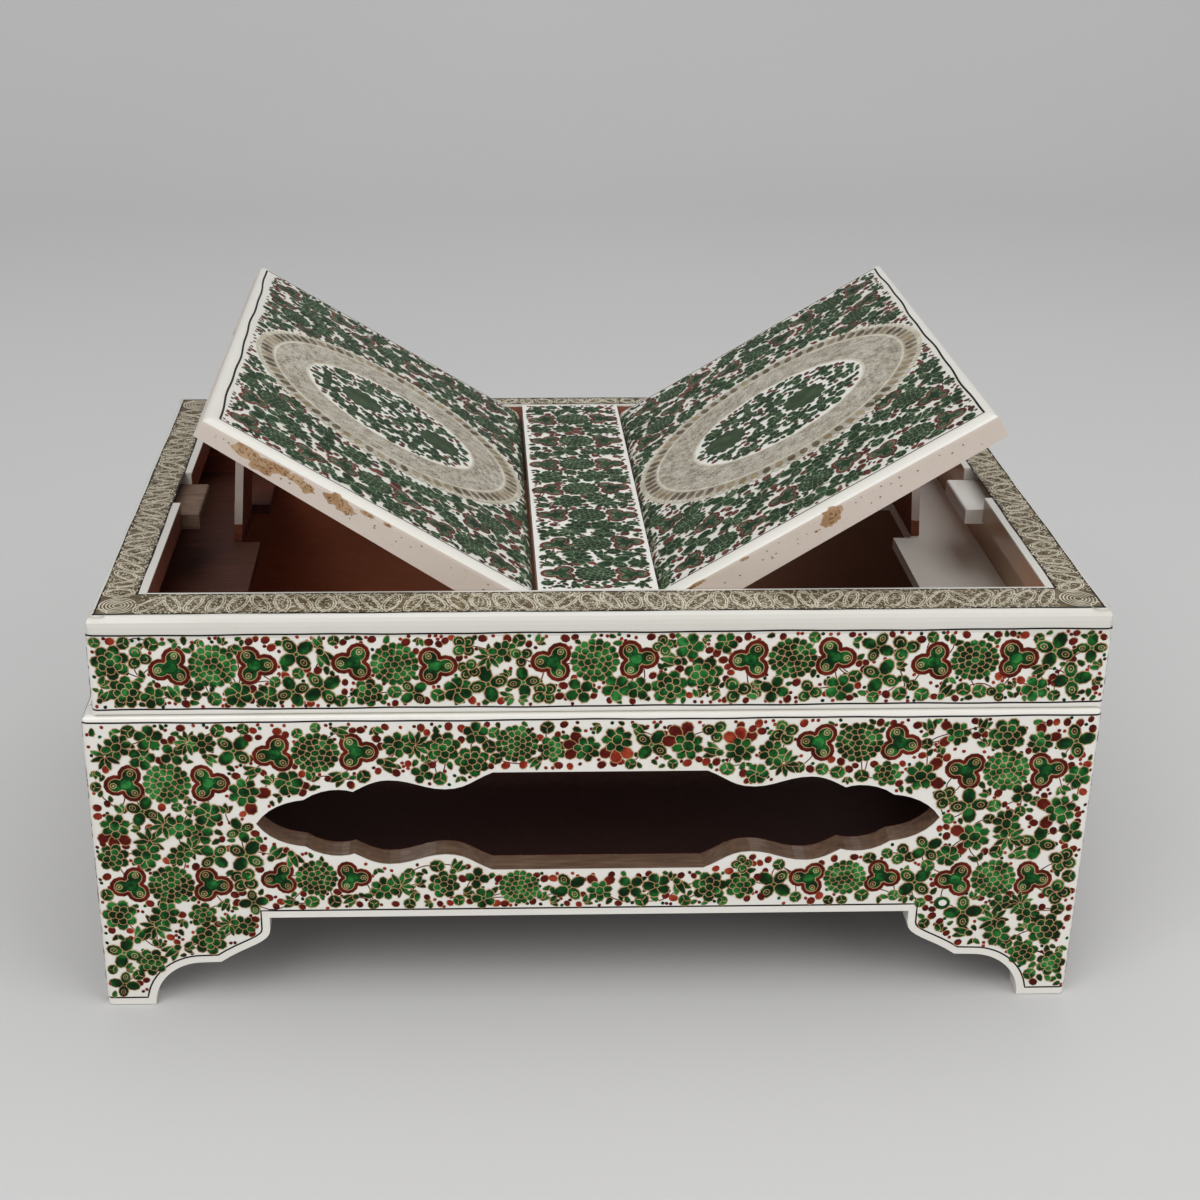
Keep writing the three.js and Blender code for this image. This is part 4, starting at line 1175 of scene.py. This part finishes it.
def setStage():
    # a floor that bends up into a wall far behind the box
    floor = bmesh.new()
    bmesh.ops.create_grid(floor, x_segments=1, y_segments=1, size=studio["half"])
    bmesh.ops.translate(floor, verts=floor.verts, vec=(0, studio["middle"], studio["low"]))
    back = [e for e in floor.edges if all(v.co.y > 0 for v in e.verts)]
    risen = bmesh.ops.extrude_edge_only(floor, edges=back)["geom"]
    verts = [g for g in risen if isinstance(g, bmesh.types.BMVert)]
    bmesh.ops.translate(floor, verts=verts, vec=(0, 0, studio["wall"]))
    bmesh.ops.bevel(floor, geom=back, offset=studio["bend"], affect="EDGES", segments=10, profile=0.5,
                    material=-1)
    mesh = meshFrom(floor, "floor")
    for face in mesh.polygons:
        face.use_smooth = True
    finish = Finish("studioFloor", 0.75)
    mesh.materials.append(finish.done(finish.mix(finish.noise(1.5), *studio["floor"])))
    piece = addObject("floor", mesh)


lamps = {
    "key": {"place": (-0.8, -1.2, 1.6), "size": 1.3, "power": 14.5},
    "fill": {"place": (1.2, -1.1, 1.2), "size": 1.3, "power": 9},
    "top": {"place": (0.25, 0.1, 1.9), "size": 1.5, "power": 9},
}


def setLights():
    target = Vector((0, 0, 0.1))
    for name, lamp in lamps.items():
        light = bpy.data.lights.new(name, "AREA")
        light.size = lamp["size"]
        light.energy = lamp["power"]
        piece = addObject(name, light)
        piece.location = lamp["place"]
        piece.rotation_euler = (target - Vector(lamp["place"])).to_track_quat("-Z", "Y").to_euler()
    world = bpy.data.worlds.new("studio")
    world.use_nodes = True
    world.node_tree.nodes["Background"].inputs["Color"].default_value = studio["sky"]
    world.node_tree.nodes["Background"].inputs["Strength"].default_value = studio["skyPower"]
    bpy.context.scene.world = world
    bpy.context.scene.view_settings.view_transform = "Standard"


setStage()
setLights()
print("stage set")


def dress(node, material):
    mesh = frame["nodes"][node].data
    mesh.materials.clear()
    mesh.materials.append(material)


# in millimetres: how far in from a board's face and from a rail's inner edge the lining begins, and the limits
# within which the window's edge is bare; and, as a share, how much painted shade greys the rails' lacquer
edging = {
    "board": 9.75, "rail": 0.3, "railTop": 0.7, "railShadeGrey": 0.4,
    "window": [(0, -122, True), (0, 127, False), (1, base["front"] + 0.35, True),
               (1, base["front"] + 9.8, False), (2, 54, True), (2, 98, False)],
}


def dressBoards():
    # the back wall and the right wall are lined with painted light
    extras = {"base_front_panel": {"reveal": edging["window"]}, "base_back_panel": {"lining": backColour},
              "lid_right_board": {"lining": tanColour}, "frame_right_rail": {"lining": tanColour}}
    for side in ("front", "back", "left", "right"):
        axis, inward = int(side in ("front", "back")), 1 if side in ("front", "left") else -1
        deep, past = inward * edging["board"], inward > 0
        rail = [(axis, top[side] - inward * edging["rail"], past),
                (2, top["height"] - edging["railTop"], False)]
        rows = (
            (f"base_{side}_panel", [(axis, base[side] + deep, past)], 0.0),
            (f"lid_{side}_board", [(axis, lid[side] + deep, past)], 0.0),
            (f"frame_{side}_rail", rail, edging["railShadeGrey"]),
        )
        for node, limits, shadeShare in rows:
            dress(node, lacquerMaterial(node, limits, shadeShare=shadeShare, **extras.get(node, {})))
    plain = lacquerMaterial("plainLacquer")
    for node in ("centre_strip", "right_rest_tab"):
        dress(node, plain)


dressBoards()


grain = 0.0003  # metres, the depth of the wood's grain


def simpleMaterial(name, colourOf, roughness, bumpScale):
    finish = Finish(name, roughness)
    return finish.done(colourOf(finish), finish.noise(bumpScale, 5), grain)


def brassMaterial():
    brass = Finish("dullBrass", 0.38, metallic=1.0)
    return brass.done(brass.mix(brass.noise(180, 5), *shades["brass"]), brass.noise(900, 3), 0.00005)


def dressSmallPieces():
    brass, bare = brassMaterial(), simpleMaterial("bareWood", bareColour, 0.7, 260)
    # what a node's name holds, and what it is made to look like
    looks = {
        "hinge": brass, "leaf_pin": brass, "foot_block": bare, "strip_dowel": bare, "left_rest_tab": bare,
        # painted light and shade: the floor darker at the front and lighter at the back
        "base_floor": simpleMaterial("floorPaintedLight", floorColour, 0.65, 220),
        # painted shade: the left ledge in a darkened stain
        "left_prop_ledge": simpleMaterial("stainInPaintedShade", darkColour, 0.6, 220),
        "right_prop_ledge": simpleMaterial("paleWood", paleColour, 0.6, 240),
    }
    for node, word in itertools.product(frame["nodes"], looks):
        if word in node:
            dress(node, looks[word])


def dressProp(side):
    # primed on its edges and stained on its broad faces, and the same dark brown over its lowest 7 mm
    node = f"{side}_prop_board"
    finish = Finish(f"{side}Prop", 0.6)
    broad = finish.maths("GREATER_THAN", finish.maths("ABSOLUTE", finish.dot((1, 0, 0)), 0), 0.6)
    foot = finish.maths("LESS_THAN", finish.along(2, 0.002), lowMm(node).z * mm + 0.007)
    colour = finish.mix(finish.maths("MAXIMUM", broad, foot), primedColour(finish), stainColour(finish))
    dress(node, finish.done(colour, finish.noise(240, 5), grain))


def dressLeaf(side):
    # lacquered on top in a white greyed with painted shade, primed round its edges and stained underneath
    finish = Finish(f"{side}Leaf", 0.34, coat=0.4)
    facing = finish.dot(leafPlane(side)[3])
    edge = finish.maths("LESS_THAN", facing, 0.32)
    under = finish.maths("LESS_THAN", facing, -0.6)
    # painted shade greys the white of the leaf's top
    white = finish.mix(0.35, lacquerColour(finish), shades["leafShadeGrey"])
    colour = finish.mix(under, finish.mix(edge, white, primedColour(finish)), stainColour(finish))
    finish.roughness(finish.scaled(edge, 0.35, 0.3))
    dress(f"{side}_leaf_board", finish.done(colour, finish.noise(90, 5), 0.0004, 0.5))


dressSmallPieces()
for leafSide in ("left", "right"):
    dressProp(leafSide)
    dressLeaf(leafSide)
print("boards and fittings dressed")
